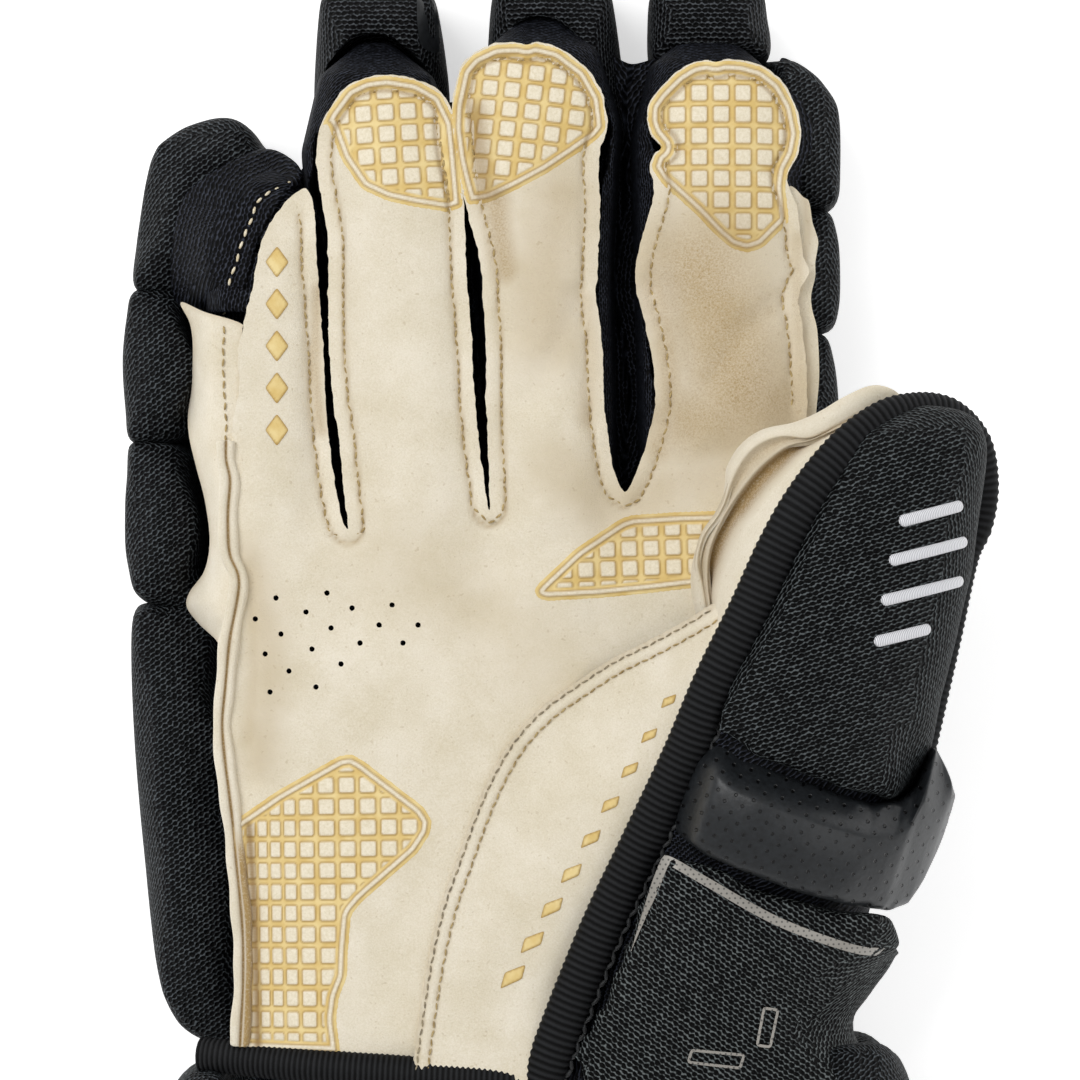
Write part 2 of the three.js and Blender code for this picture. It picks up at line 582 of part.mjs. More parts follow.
// The cuff: a wall of foam round the wrist, open on the palm side, thinner at its bound end
const CUFF_SHIFT = 9; // it stands out further on the thumb side
const CUFF_CENTRE = HAND_CENTRE + CUFF_SHIFT;
const CUFF_SQUARE = 3.4;
const CUFF_SIDES = 28;
const CUFF_ROWS = [
  { along: 0, thick: 1 },
  { along: 0.9, thick: 1 },
  { along: 1, thick: 0.5 },
];
const CUFF_SLOT = { left: -0.388, right: 0.3 }; // as shares of its width
const cuffHalf = (along) => lerp(CUFF_TOP_WIDTH, CUFF_WIDTH, along) / 2;
function cuffForm(inward, extra) {
  const rows = CUFF_ROWS.map(({ along, thick }) => {
    const drawn = (CUFF_WALL * (1 - thick)) / 2;
    const off = inward ? CUFF_WALL - drawn : drawn;
    const y = lerp(CUFF_TOP_Y, CUFF_END_Y, along) + (along ? -extra : extra);
    const [half, height] = [cuffHalf(along) - off, CUFF_HEIGHT / 2 - off];
    return { x: CUFF_CENTRE, y, z: CUFF_HEIGHT / 2, half, height, square: CUFF_SQUARE };
  });
  return skin(rows.map((row) => ring(row, CUFF_SIDES)));
}
const rimHalf = { x: cuffHalf(1) - CUFF_WALL / 2, z: (CUFF_HEIGHT - CUFF_WALL) / 2 };
const RIM_STOPS = lines(-222, 36, 15);
const rimPath = RIM_STOPS.map((degrees) => {
  const push = (v) => Math.sign(v) * Math.abs(v) ** (2 / CUFF_SQUARE);
  const [across, up] = [push(Math.cos(radians(degrees))), push(Math.sin(radians(degrees)))];
  const [x, z] = [CUFF_CENTRE + across * rimHalf.x, CUFF_HEIGHT / 2 + up * rimHalf.z];
  return new THREE.Vector3(x, CUFF_END_Y - TAPE_RADIUS - GAP, z);
});
const rimTape = tape(rimPath, TAPE_RADIUS, TAPE_STEPS.rim);
const slotLeft = CUFF_CENTRE + CUFF_SLOT.left * CUFF_WIDTH;
const slotRight = CUFF_CENTRE + CUFF_SLOT.right * CUFF_WIDTH;
const cuffSlot = box(slotLeft, -2 * SKY, CUFF_HEIGHT / 2, slotRight, 2 * SKY, SKY);

// Padding round the thumb: a crescent on its back, in three pieces
const THUMB_EDGE = 1.5; // how far the padding stands out past the thumb's edges
const bandHalf = BAND_WIDTH / 2 / THUMB_LENGTH;
const padGap = PAD_GAP / THUMB_LENGTH;
const thumbPad = (from, to, proud) => thumbForm(THUMB_EDGE + proud, THUMB_PAD - THUMB_EDGE, from, to);
const thumbPads = [
  { name: "thumb_base_pad", solid: thumbPad(THUMB_FROM + 0.02, BAND_AT - bandHalf - padGap, 0) },
  { name: "thumb_band", solid: thumbPad(BAND_AT - bandHalf, BAND_AT + bandHalf, BAND_PROUD) },
  { name: "thumb_tip_pad", solid: thumbPad(BAND_AT + bandHalf + padGap, 1, 0) },
];

// Padding on the back of the hand and the fingers
const formClears = [handClear, thumbClear, ...fingerClears];
const PAD_SINK = 0.62; // a pad's half height, as a share of BACK_PAD, before it is flattened
const rolls = ROLLS.map(({ name, from, to, left }) => {
  const [low, high] = [palmY(from) + PAD_GAP / 2, palmY(to) - PAD_GAP / 2];
  const solid = pad(handX(left), handX(ROLL_RIGHT), low, high, BACK_PAD / 2, BACK_PAD * PAD_SINK);
  return { name: `back_roll_${name}`, solid: without(solid, formClears) };
});
const PAD_RISE = 24; // how far the outer pads come up beside the hand
const OUTER_PADS = 3; // a fourth pad lies on the fingertip alone
const fingerPads = FINGERS.flatMap((finger) => {
  const tipEnd = fingerY(finger, 1) + PAD_REACH + PAD_GAP;
  const stops = [...finger.pads.map((along) => fingerY(finger, along)), tipEnd];
  const names = ["base", "mid", "tip", "end"];
  return finger.pads.map((along, k) => {
    const x = fingerX(finger, (along + (finger.pads[k + 1] ?? 1)) / 2);
    const half = fingerHalf(finger, along);
    const outer = k < OUTER_PADS ? finger.outer : 0;
    const left = x - half - (outer < 0 ? OUTER_PAD : 0) + GAP;
    const right = x + half + (outer > 0 ? OUTER_PAD : 0) + (finger.wider ?? 0) * FINGER_HALF - GAP;
    const tall = finger.outer || k === finger.pads.length - 1;
    const [middle, rise] = tall ? [BACK_PAD, PAD_RISE] : [BACK_PAD / 2, BACK_PAD * PAD_SINK];
    const solid = pad(left, right, stops[k], stops[k + 1] - PAD_GAP, middle, rise);
    return { name: `${finger.name}_pad_${names[k]}`, solid };
  });
});
const sideFrom = handX(HAND_ROWS[1].left) - OUTER_PAD;
const sideTo = handX(ROLLS[0].left) - PAD_GAP;
const sideEnd = fingerY(FINGERS[0], FINGERS[0].pads[0]) - PAD_GAP;
const sidePad = pad(sideFrom, sideTo, CUFF_TOP_Y + PAD_GAP, sideEnd, BACK_PAD, PAD_RISE);

const group = new THREE.Group();
const FINISHES = {
  suede: { color: 0xe6d6ae, roughness: 0.92 },
  knit: { color: 0x14151a, roughness: 0.85 },
  mesh: { color: 0x101012, roughness: 0.8 },
  coated: { color: 0x1c1e22, roughness: 0.5 },
  tape: { color: 0x131314, roughness: 0.8 },
};
function add(name, solid, finish) {
  const made = solid.getMesh();
  const geometry = new THREE.BufferGeometry()
    .setAttribute("position", new THREE.BufferAttribute(made.vertProperties, made.numProp))
    .setIndex(new THREE.BufferAttribute(made.triVerts, 1));
  const mesh = new THREE.Mesh(geometry, new THREE.MeshStandardMaterial({ ...FINISHES[finish], metalness: 0 }));
  mesh.name = name;
  group.add(mesh);
}

const thumbTapeClear = thumbTape(GAP);
const cuffOuter = cuffForm(false, 0);
const cuffInner = cuffForm(true, 1);
const cuffWall = without(cuffOuter, [cuffInner, cuffSlot, handClear, thumbClear, heelTape(GAP)]);
const cuffClear = cuffForm(false, GAP);

add("palm_leather", palmLeather, "suede");
add("thenar_leather", thenarLeather, "suede");
add("thumb_sleeve", thumbSleeve, "suede");
STRIPS.forEach(({ name }, k) => add(name, gussets[k], "suede"));
add("hand_lining", lining, "knit");
FINGERS.forEach(({ name }, k) => add(`${name}_sleeve`, sleeves[k], "knit"));
add("thumb_binding", thumbTape(0), "tape");
add("heel_binding", mainBody(heelTape(0).subtract(thumbTapeClear)), "tape");
for (const { name, solid } of thumbPads) {
  const cut = without(solid, [thumbClear, thumbTapeClear, handClear, ...fingerClears, cuffClear]);
  add(name, mainBody(cut), name === "thumb_band" ? "coated" : "mesh");
}
for (const { name, solid } of rolls) add(name, mainBody(solid), "mesh");
for (const { name, solid } of fingerPads) add(name, mainBody(without(solid, formClears)), "mesh");
add("side_pad", mainBody(without(sidePad, formClears)), "mesh");
add("cuff_pad", mainBody(cuffWall), "mesh");
add("cuff_binding", rimTape, "tape");

export default group;
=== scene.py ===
# An ice hockey glove for the right hand, on its back with the suede palm up.
import math

import bmesh
import bpy
import numpy as np
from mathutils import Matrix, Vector, kdtree
from mathutils.bvhtree import BVHTree


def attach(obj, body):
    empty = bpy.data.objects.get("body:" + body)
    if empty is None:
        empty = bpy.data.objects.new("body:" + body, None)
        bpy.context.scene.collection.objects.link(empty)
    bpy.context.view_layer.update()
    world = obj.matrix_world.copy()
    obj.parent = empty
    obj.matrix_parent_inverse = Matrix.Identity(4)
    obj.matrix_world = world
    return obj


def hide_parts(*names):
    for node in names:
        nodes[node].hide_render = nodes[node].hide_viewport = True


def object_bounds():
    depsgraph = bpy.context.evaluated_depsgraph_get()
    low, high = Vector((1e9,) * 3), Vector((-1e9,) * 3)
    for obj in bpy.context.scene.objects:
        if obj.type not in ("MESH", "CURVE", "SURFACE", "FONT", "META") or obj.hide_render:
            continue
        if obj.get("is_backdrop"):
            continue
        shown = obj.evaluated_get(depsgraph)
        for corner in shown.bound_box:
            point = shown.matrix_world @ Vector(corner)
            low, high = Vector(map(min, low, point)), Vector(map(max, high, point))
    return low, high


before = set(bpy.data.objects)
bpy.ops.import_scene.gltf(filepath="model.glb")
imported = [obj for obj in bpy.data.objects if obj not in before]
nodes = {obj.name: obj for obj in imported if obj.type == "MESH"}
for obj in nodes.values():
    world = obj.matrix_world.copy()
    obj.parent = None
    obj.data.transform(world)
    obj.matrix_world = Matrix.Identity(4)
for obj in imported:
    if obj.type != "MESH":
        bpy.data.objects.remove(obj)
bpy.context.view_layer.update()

# The camera hangs straight over the palm, so far up that the glove hardly narrows with height. A place
# in the photograph is a pixel of its square frame, and spot() gives where that lies on the glove, in
# millimetres, at the height of the surface there.
MM = 0.001
PHOTO = 1080
PIXEL = 0.22  # millimetres to a pixel at the palm
PALM_LEVEL = 62
EYE = 1100  # the camera above that level
AIM = np.array([15.4, 48.4])
SENSOR = 36


def spot(pixels, level=PALM_LEVEL):
    across = (np.array(pixels, float) - PHOTO / 2) * (1, -1)
    size = PIXEL * (EYE + PALM_LEVEL - np.array(level, float)) / EYE
    return AIM + across * size.reshape(-1, 1)


def linked(name, data):
    thing = bpy.data.objects.new(name, data)
    bpy.context.scene.collection.objects.link(thing)
    return thing


eye = linked("eye", bpy.data.cameras.new("eye"))
eye.location = (AIM[0] * MM, AIM[1] * MM, (EYE + PALM_LEVEL) * MM)
eye.data.sensor_width = SENSOR
eye.data.lens = SENSOR * EYE / (PIXEL * PHOTO)
bpy.context.scene.camera = eye

# The palm is one sheet of napped synthetic suede, cut with the fronts of the four fingers. It is sewn
# to the knit a few millimetres inside its raw edge, so the edge stands up as a bright wavy flange and
# the seam pulls a shallow trench along it. The middle of the palm is punched with small vents.
SUEDE = 1.28  # how thick it is
FLANGE = 3.4  # from the raw edge to the seam
SHEET_CELL = 0.85  # of the grid that a sheet is made of
LEATHER = 1.2  # the thickness of the other sheets
EDGE_STEP = 0.45  # between the points of a raw edge

PALM_LEFT = [(246, 1046), (250, 980), (246, 921), (239, 860), (235, 808), (228, 724), (232, 690),
    (235, 638), (243, 583), (233, 545), (232, 509), (231, 463), (233, 420), (239, 390), (238, 350),
    (243, 330)]
PINKY = [(246, 310), (252, 290), (262, 240), (283, 205), (298, 191), (307, 189), (313, 203), (316, 230),
    (317, 260), (320, 300), (324, 360), (327, 420), (331, 455), (336, 490), (342, 518), (346, 526)]
RING = [(348, 525), (343, 480), (338, 430), (333, 400), (330, 360), (328, 300), (328, 241), (323, 207),
    (316, 161), (320, 129), (327, 113), (346, 87), (365, 78), (387, 75), (417, 80), (442, 94), (456, 122),
    (460, 161), (464, 207), (466, 264), (472, 344), (475, 400), (480, 450), (485, 485), (488, 506)]
MIDDLE = [(490, 505), (488, 450), (486, 400), (486, 360), (483, 298), (480, 262), (470, 221), (461, 185),
    (455, 160), (451, 129), (452, 105), (460, 69), (472, 55), (495, 44), (520, 43), (527, 46), (534, 42),
    (559, 48), (587, 69), (603, 97), (607, 129), (599, 156), (600, 207), (598, 264), (596, 298), (602, 344),
    (604, 400), (610, 450), (616, 478), (622, 489)]
INDEX = [(627, 490), (637, 470), (647, 440), (655, 405), (653, 365), (645, 325), (636, 290), (636, 268),
    (641, 240), (652, 203), (654, 187), (650, 168), (655, 153), (663, 148), (652, 136), (647, 122),
    (648, 105), (658, 91), (676, 73), (692, 63), (707, 60), (716, 63), (723, 60), (742, 61), (763, 67),
    (782, 82), (795, 105), (801, 134), (797, 155), (788, 172), (787, 182), (792, 194), (797, 207),
    (799, 223), (801, 240), (803, 255), (808, 266), (809, 272), (806, 279), (801, 287), (798, 297),
    (799, 309), (802, 320), (803, 335), (806, 365), (807, 410)]
PALM_RIGHT = [(803, 450), (785, 505), (765, 560), (745, 620), (720, 665), (690, 690), (620, 722),
    (560, 775), (520, 835), (490, 905), (470, 985), (458, 1072), (400, 1066), (320, 1054)]
VENTS = [(276, 598), (327, 593), (306, 612), (352, 608), (392, 605), (255, 619), (281, 634), (331, 628),
    (379, 625), (418, 625), (265, 654), (312, 649), (360, 643), (403, 643), (289, 671), (341, 664),
    (270, 692), (316, 687)]
VENT_RADIUS = 0.62


def flow(points, step, closed=False):
    # A smooth line through given points, in even steps.
    p = np.array(points, float)
    if closed:
        ends = np.vstack([p[-1:], p, p[:2]])
    else:
        ends = np.vstack([2 * p[:1] - p[1:2], p, 2 * p[-1:] - p[-2:-1]])
    t = np.linspace(0, 1, 10, endpoint=False)[:, None]
    line = []
    for a, b, c, d in zip(ends, ends[1:], ends[2:], ends[3:]):
        bend = (c - a) * t + (2 * a - 5 * b + 4 * c - d) * t**2 + (3 * b - a - 3 * c + d) * t**3
        line.append(b + bend / 2)
    line = np.vstack(line + [p[:1] if closed else p[-1:]])
    length = np.concatenate([[0], np.cumsum(np.linalg.norm(np.diff(line, axis=0), axis=1))])
    at = np.linspace(0, length[-1], max(2, round(length[-1] / step)) + 1)
    even = np.column_stack([np.interp(at, length, column) for column in line.T])
    return even[:-1] if closed else even


def points_of(piece):
    places = np.empty(len(piece.data.vertices) * 3, np.float32)
    piece.data.vertices.foreach_get("co", places)
    return places.reshape(-1, 3).astype(float) / MM


def relief(pieces, rounds, step=1.5, margin=14):
    # The height of these pieces from above, carried past their edges and softened.
    every = np.vstack([points_of(piece)[:, :2] for piece in pieces])
    low, high = every.min(0) - margin, every.max(0) + margin
    xs, ys = np.arange(low[0], high[0], step), np.arange(low[1], high[1], step)
    heights = np.full((len(ys), len(xs)), np.nan)
    for piece in pieces:
        mesh = piece.data
        tree = BVHTree.FromPolygons([v.co for v in mesh.vertices], [p.vertices for p in mesh.polygons])
        for row, y in enumerate(ys):
            for column, x in enumerate(xs):
                hit = tree.ray_cast((x * MM, y * MM, 1), (0, 0, -1))[0]
                if hit and not heights[row, column] > hit.z / MM:
                    heights[row, column] = hit.z / MM
    turns = [(dy, dx) for dy in (-1, 0, 1) for dx in (-1, 0, 1)]
    while np.isnan(heights).any() or rounds:
        known = ~np.isnan(heights)
        framed = np.pad(np.where(known, heights, 0), 1, mode="edge")
        count = np.pad(known.astype(float), 1, mode="edge")
        rows, columns = heights.shape
        total = sum(framed[1 + a:1 + a + rows, 1 + b:1 + b + columns] for a, b in turns)
        weight = sum(count[1 + a:1 + a + rows, 1 + b:1 + b + columns] for a, b in turns)
        if known.all():
            heights, rounds = total / weight, rounds - 1
        else:
            grown = np.where(weight > 0, total / np.maximum(weight, 1), np.nan)
            heights = np.where(known, heights, grown)

    def height(points):
        u = np.clip((points[:, 0] - xs[0]) / step, 0, len(xs) - 1.001)
        v = np.clip((points[:, 1] - ys[0]) / step, 0, len(ys) - 1.001)
        c, r = u.astype(int), v.astype(int)
        u, v = u - c, v - r
        near = heights[r, c] * (1 - u) + heights[r, c + 1] * u
        return near * (1 - v) + (heights[r + 1, c] * (1 - u) + heights[r + 1, c + 1] * u) * v

    return height


def on(height, pixels, lift=0.0):
    # Pixels of the photograph as places on a surface, with their heights.
    place = spot(pixels)
    for _ in range(3):
        place = spot(pixels, height(place))
    return np.column_stack([place, height(place) + lift])


def plan(height, pixels, step, closed=False):
    # The same places as a smooth line seen from above.
    return flow(on(height, pixels)[:, :2], step, closed)


def nearest(line):
    # How far points lie from a line, seen from above, and which of its points is the nearest.
    tree = kdtree.KDTree(len(line))
    for k, (x, y) in enumerate(line[:, :2]):
        tree.insert((x, y, 0), k)
    tree.balance()

    def measure(points):
        found = [tree.find((x, y, 0)) for x, y in points[:, :2]]
        return np.array([f[2] for f in found]), np.array([f[1] for f in found])

    return measure


def only(*pieces):
    # These pieces alone are selected, and the last one is active.
    bpy.ops.object.select_all(action="DESELECT")
    for piece in pieces:
        piece.select_set(True)
    bpy.context.view_layer.objects.active = pieces[-1]
    return pieces[-1]


def solid(name, points, faces):
    # A mesh from points in millimetres.
    mesh = bpy.data.meshes.new(name)
    mesh.from_pydata((np.array(points) * MM).tolist(), [], faces)
    return only(linked(name, mesh))


def move_points(piece, points):
    piece.data.vertices.foreach_set("co", (points * MM).astype(np.float32).ravel())
    piece.data.update()


def apply(piece, kind, **settings):
    # One modifier, set and applied.
    only(piece)
    modifier = piece.modifiers.new(kind, kind)
    for name, value in settings.items():
        setattr(modifier, name, value)
    bpy.ops.object.modifier_apply(modifier=modifier.name)


def edited(piece, step, **settings):
    # One step in edit mode on the whole mesh.
    only(piece)
    bpy.ops.object.mode_set(mode="EDIT")
    bpy.ops.mesh.select_all(action="SELECT")
    step(**settings)
    bpy.ops.object.mode_set(mode="OBJECT")
    return piece


def cut(sheet, outline, operation):
    # A prism that stands on the outline cuts the sheet.
    count = len(outline)
    rings = [np.column_stack([outline, np.full(count, z)]) for z in (-3, 3)]
    walls = [(k, (k + 1) % count, count + (k + 1) % count, count + k) for k in range(count)]
    prism = solid("cutter", np.vstack(rings), [range(count)[::-1], range(count, 2 * count), *walls])
    edited(prism, bpy.ops.mesh.normals_make_consistent, inside=False)
    apply(sheet, "BOOLEAN", object=prism, operation=operation, solver="MANIFOLD")
    bpy.data.objects.remove(prism)


def cut_sheet(name, outline, cell, holes=()):
    # A flat sheet seen from above, its grid trimmed along an outline and punched, with its points.
    low, high = outline.min(0) - cell, outline.max(0) + cell
    count = np.round((high - low) / cell).astype(int)
    bpy.ops.object.select_all(action="DESELECT")
    bpy.ops.mesh.primitive_grid_add(x_subdivisions=count[0], y_subdivisions=count[1], size=1)
    sheet = bpy.context.object
    sheet.name = sheet.data.name = name
    points = points_of(sheet) * MM
    points[:, :2] = low + (points[:, :2] + 0.5) * (high - low)
    move_points(sheet, points)
    apply(sheet, "SOLIDIFY", thickness=1 * MM, offset=-1)
    cut(sheet, outline, "INTERSECT")
    for hole in holes:
        cut(sheet, hole, "DIFFERENCE")
    mesh = bmesh.new()
    mesh.from_mesh(sheet.data)
    mesh.normal_update()
    bmesh.ops.delete(mesh, geom=[f for f in mesh.faces if f.normal.z < 0.5], context="FACES")
    bmesh.ops.remove_doubles(mesh, verts=mesh.verts, dist=0.16 * cell * MM)
    mesh.to_mesh(sheet.data)
    mesh.free()
    return sheet, points_of(sheet)


def thicken(sheet, thickness):
    # A sheet gets its thickness straight down.
    mesh = bmesh.new()
    mesh.from_mesh(sheet.data)
    made = bmesh.ops.extrude_face_region(mesh, geom=mesh.faces[:], use_keep_orig=True)
    lower = [item for item in made["geom"] if isinstance(item, bmesh.types.BMVert)]
    bmesh.ops.translate(mesh, verts=lower, vec=(0, 0, -thickness * MM))
    bmesh.ops.recalc_face_normals(mesh, faces=mesh.faces)
    mesh.to_mesh(sheet.data)
    mesh.free()
    only(sheet)
    bpy.ops.object.shade_smooth_by_angle(angle=math.radians(50))


def attribute(piece, name, values):
    layer = piece.data.attributes.new(name, "FLOAT", "POINT")
    layer.data.foreach_set("value", np.array(values, np.float32))


def step_between(low, high, values):
    t = np.clip((values - low) / (high - low), 0, 1)
    return t * t * (3 - 2 * t)


def hexes(code):
    # An sRGB hex colour as linear light.
    parts = [int(code[k:k + 2], 16) / 255 for k in (0, 2, 4)]
    return tuple(c / 12.92 if c <= 0.04045 else ((c + 0.055) / 1.055) ** 2.4 for c in parts) + (1.0,)


def plug(tree, node, inputs):
    # Values and links for a node's sockets; a node stands for its first output.
    for socket, value in dict(inputs).items():
        if isinstance(value, bpy.types.Node):
            value = value.outputs[0]
        if isinstance(value, bpy.types.NodeSocket):
            tree.links.new(value, node.inputs[socket])
        else:
            node.inputs[socket].default_value = value
    return node


def add(tree, kind, inputs=(), stops=(), **settings):
    # A shader node with its settings, its values and links, and the stops of its colour ramp.
    node = tree.nodes.new("ShaderNode" + kind)
    for name, value in settings.items():
        setattr(node, name, value)
    if stops:
        elements = node.color_ramp.elements
        for _ in stops[len(elements):]:
            elements.new(0.5)
        for element, (place, colour) in zip(elements, stops):
            element.position = place
            element.color = hexes(colour) if isinstance(colour, str) else (colour, colour, colour, 1)
    return plug(tree, node, inputs)


def new_material(name, surface):
    # A material, its tree, its shader with what is the same all over, and the place on the glove.
    material = bpy.data.materials.new(name)
    material.use_nodes = True
    tree = material.node_tree
    place = add(tree, "TexCoord").outputs["Object"]
    return material, tree, plug(tree, tree.nodes["Principled BSDF"], surface), place


def clad(tree, shader, colour, height, depth, strength):
    # The shader gets its colour and its relief, which is so many millimetres deep.
    bump = add(tree, "Bump", {"Height": height, "Distance": depth * MM, "Strength": strength})
    plug(tree, shader, {"Base Color": colour, "Normal": bump})


# Napped synthetic suede: a cream microfibre, matt and a little darker where the nap lies flat, with
# short fibres about 0.4 mm long. A per-point attribute paints brown shade into seams, folds and dips.
palm_suede, tree, shader, place = new_material(
    "napped synthetic suede", {"Roughness": 0.93, "Sheen Weight": 0.25, "Sheen Roughness": 0.6})
nap = add(tree, "TexNoise", {"Vector": place, "Scale": 2400, "Detail": 4, "Roughness": 0.75})
cloud = add(tree, "TexNoise", {"Vector": place, "Scale": 75, "Detail": 3, "Roughness": 0.55})
fleck = add(tree, "TexNoise", {"Vector": place, "Scale": 900, "Detail": 1})
mixed = add(tree, "Mix", {0: 0.42, 2: nap, 3: cloud})
cream = add(tree, "ValToRGB", {0: mixed}, [(0.36, "DFD3B7"), (0.62, "F4EBD8")])
specks = add(tree, "ValToRGB", {0: fleck}, [(0.25, 0.3), (0.3, 0.0)])
spotted = add(tree, "Mix", {0: specks, 6: cream, 7: hexes("B9A47C")}, data_type="RGBA")
grainy = add(tree, "MapRange", {0: nap, 1: 0.3, 2: 0.7, 3: 0.35, 4: 1.5})
# Painted shade: the attribute mixes in the brown A98A52, more where the nap's grain is coarse.
shade_mask = add(tree, "Attribute", attribute_name="stain").outputs["Fac"]
grained_shade = add(tree, "Math", {0: shade_mask, 1: grainy}, operation="MULTIPLY")
shaded_suede = add(tree, "Mix", {0: grained_shade, 6: spotted.outputs[2], 7: hexes("A98A52")}, data_type="RGBA")
clad(tree, shader, shaded_suede.outputs[2], mixed, 0.6, 0.75)

palm_base = relief([nodes["palm_leather"]], 5)
edge_line = plan(palm_base, PALM_LEFT + PINKY + RING + MIDDLE + INDEX + PALM_RIGHT, EDGE_STEP, True)
to_edge = nearest(edge_line)
rng = np.random.default_rng(7)
ragged = rng.normal(0, 0.16, len(edge_line) + 4)
ragged = np.convolve(ragged, [0.2, 0.3, 0.3, 0.2], "valid")[:len(edge_line)]
ahead = np.roll(edge_line, -2, 0) - np.roll(edge_line, 2, 0)
outward = np.column_stack([ahead[:, 1], -ahead[:, 0]]) / np.linalg.norm(ahead, axis=1)[:, None]
xs, ys = edge_line.T
if np.sum(xs * np.roll(ys, -1) - ys * np.roll(xs, -1)) < 0:
    outward = -outward

# Only the fingers have a free flange: the left side is pinched into a ridge, and the rest lies under
# the thumb's leather and the heel's tape.
free_ends = on(palm_base, [PINKY[4], INDEX[-1]])[:, :2]
first, last = (int(np.argmin(np.linalg.norm(edge_line - end, axis=1))) for end in free_ends)
along_edge = np.arange(len(edge_line))
flange_share = step_between(first - 8, first + 8, along_edge)
flange_share *= 1 - step_between(last - 8, last + 8, along_edge)
lengths = along_edge * EDGE_STEP
wave = 0.5 + 0.5 * np.sin(lengths / 5.3) * np.sin(lengths / 2.9 + 1.3)

# Soft hollows and folds of the palm: a line of pixels, its depth and its half width.
PALM_FOLDS = [
    ([(500, 205), (506, 260), (512, 330)], 1.5, 3.4),
    ([(655, 430), (675, 400), (672, 340), (658, 290)], 1.7, 3.4),
    ([(775, 300), (735, 345), (700, 400), (672, 450)], 1.1, 3.0),
    ([(578, 300), (555, 350), (530, 400)], 1.0, 3.4),
    ([(592, 420), (585, 360), (580, 290)], 0.8, 2.6),
    ([(318, 300), (311, 380), (316, 450)], 0.9, 2.2),
    ([(655, 150), (700, 152), (745, 175), (792, 168)], 0.8, 1.3),
    ([(655, 139), (690, 132), (730, 122), (770, 128)], 0.5, 1.0),
    ([(250, 575), (258, 640), (252, 720), (256, 780)], 1.0, 2.6),
    ([(370, 610), (440, 590), (520, 610), (600, 640)], 0.7, 8.0),
    ([(420, 540), (480, 560), (560, 545)], 0.8, 5.0),
    ([(690, 300), (720, 330), (770, 320)], 0.5, 3.0),
    ([(640, 520), (690, 470), (740, 450)], 0.8, 4.0),
]
# Painted shade where the palm's fingers curve away and fold: a line of pixels, how much, and its half
# width.
PAINTED_SHADES = [
    ([(496, 200), (500, 235), (506, 270)], 0.62, 3.4),
    ([(476, 110), (480, 150), (488, 200)], 0.55, 2.4),
    ([(660, 450), (672, 400), (668, 330), (660, 280)], 0.5, 4.2),
    ([(770, 310), (735, 350), (700, 400)], 0.5, 3.0),
    ([(798, 240), (797, 300), (801, 380)], 0.38, 2.2),
    ([(318, 290), (315, 360), (321, 430)], 0.5, 1.6),
    ([(252, 580), (255, 660), (250, 740)], 0.3, 2.2),
    ([(586, 420), (592, 360), (588, 300)], 0.3, 2.4),
    ([(249, 826), (254, 900), (256, 960), (258, 1044)], 0.85, 1.0),
    ([(640, 500), (690, 480), (730, 470)], 0.3, 6.0),
    ([(700, 270), (725, 330), (740, 390)], 0.68, 15.0),
    ([(690, 420), (730, 410), (770, 400)], 0.6, 11.0),
    ([(560, 200), (545, 280), (550, 340)], 0.34, 9.0),
    ([(250, 560), (270, 660), (262, 760)], 0.26, 5.0),
    ([(560, 470), (610, 510), (660, 490)], 0.24, 8.0),
    ([(400, 560), (500, 620), (560, 680)], 0.12, 12.0),
]


def faded(rows):
    # What each line of a table does at a place, in full on the line and less beside it.
    reach = [nearest(plan(palm_base, line, 0.6)) for line, _, _ in rows]

    def strengths(points):
        return [much * np.exp(-((to(points)[0] / half) ** 2)) for to, (_, much, half) in zip(reach, rows)]

    return strengths


folds, stains = faded(PALM_FOLDS), faded(PAINTED_SHADES)


def palm_shape(points):
    # The palm's height, and how deep a place lies in a seam.
    away, index = to_edge(points)
    share = flange_share[index]
    height = palm_base(points)
    height += share * (0.45 + 0.5 * wave[index]) * (1 - step_between(0, FLANGE, away))
    trench = np.exp(-(((away - FLANGE) / 0.55) ** 2)) * share
    height -= 0.75 * trench
    height += 0.45 * (1 - np.exp(-np.maximum(away - FLANGE, 0) / 2.2))
    return height - sum(folds(points)), trench


def finish(piece, material, slot, *replaced, thickness=0):
    # A finished piece gets its thickness, its material and its place on the glove.
    only(piece)
    bpy.ops.object.shade_smooth()
    if thickness:
        thicken(piece, thickness)
    piece.data.materials.clear()
    piece.data.materials.append(material)
    piece.data.polygons.foreach_set("material_index", [0] * len(piece.data.polygons))
    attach(piece, "root")
    if replaced:
        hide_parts(*replaced)


def lay(sheet, points, heights, thickness, material, slot, *replaced, **marks):
    # A cut sheet is raised to its heights and finished; marks are values for its material.
    points[:, 2] = heights
    move_points(sheet, points)
    for name, values in marks.items():
        attribute(sheet, name, values)
    finish(sheet, material, slot, *replaced, thickness=thickness)


def oval(sides, wide, tall):
    turn = np.arange(sides) * 2 * math.pi / sides
    return np.column_stack([wide / 2 * np.cos(turn), tall / 2 * np.sin(turn)])


vents = [place + oval(10, 2 * VENT_RADIUS, 2 * VENT_RADIUS) for place in on(palm_base, VENTS)[:, :2]]
palm, flat = cut_sheet("palm_suede", edge_line + outward * ragged[:, None], SHEET_CELL, vents)
height, trench = palm_shape(flat)
# The palm's painted shade: brown in the seam trench and along the lines of the shade table.
lay(palm, flat, height, SUEDE, palm_suede, "suede", "palm_leather",
    stain=np.maximum(0.55 * trench, np.max(stains(flat), axis=0)))
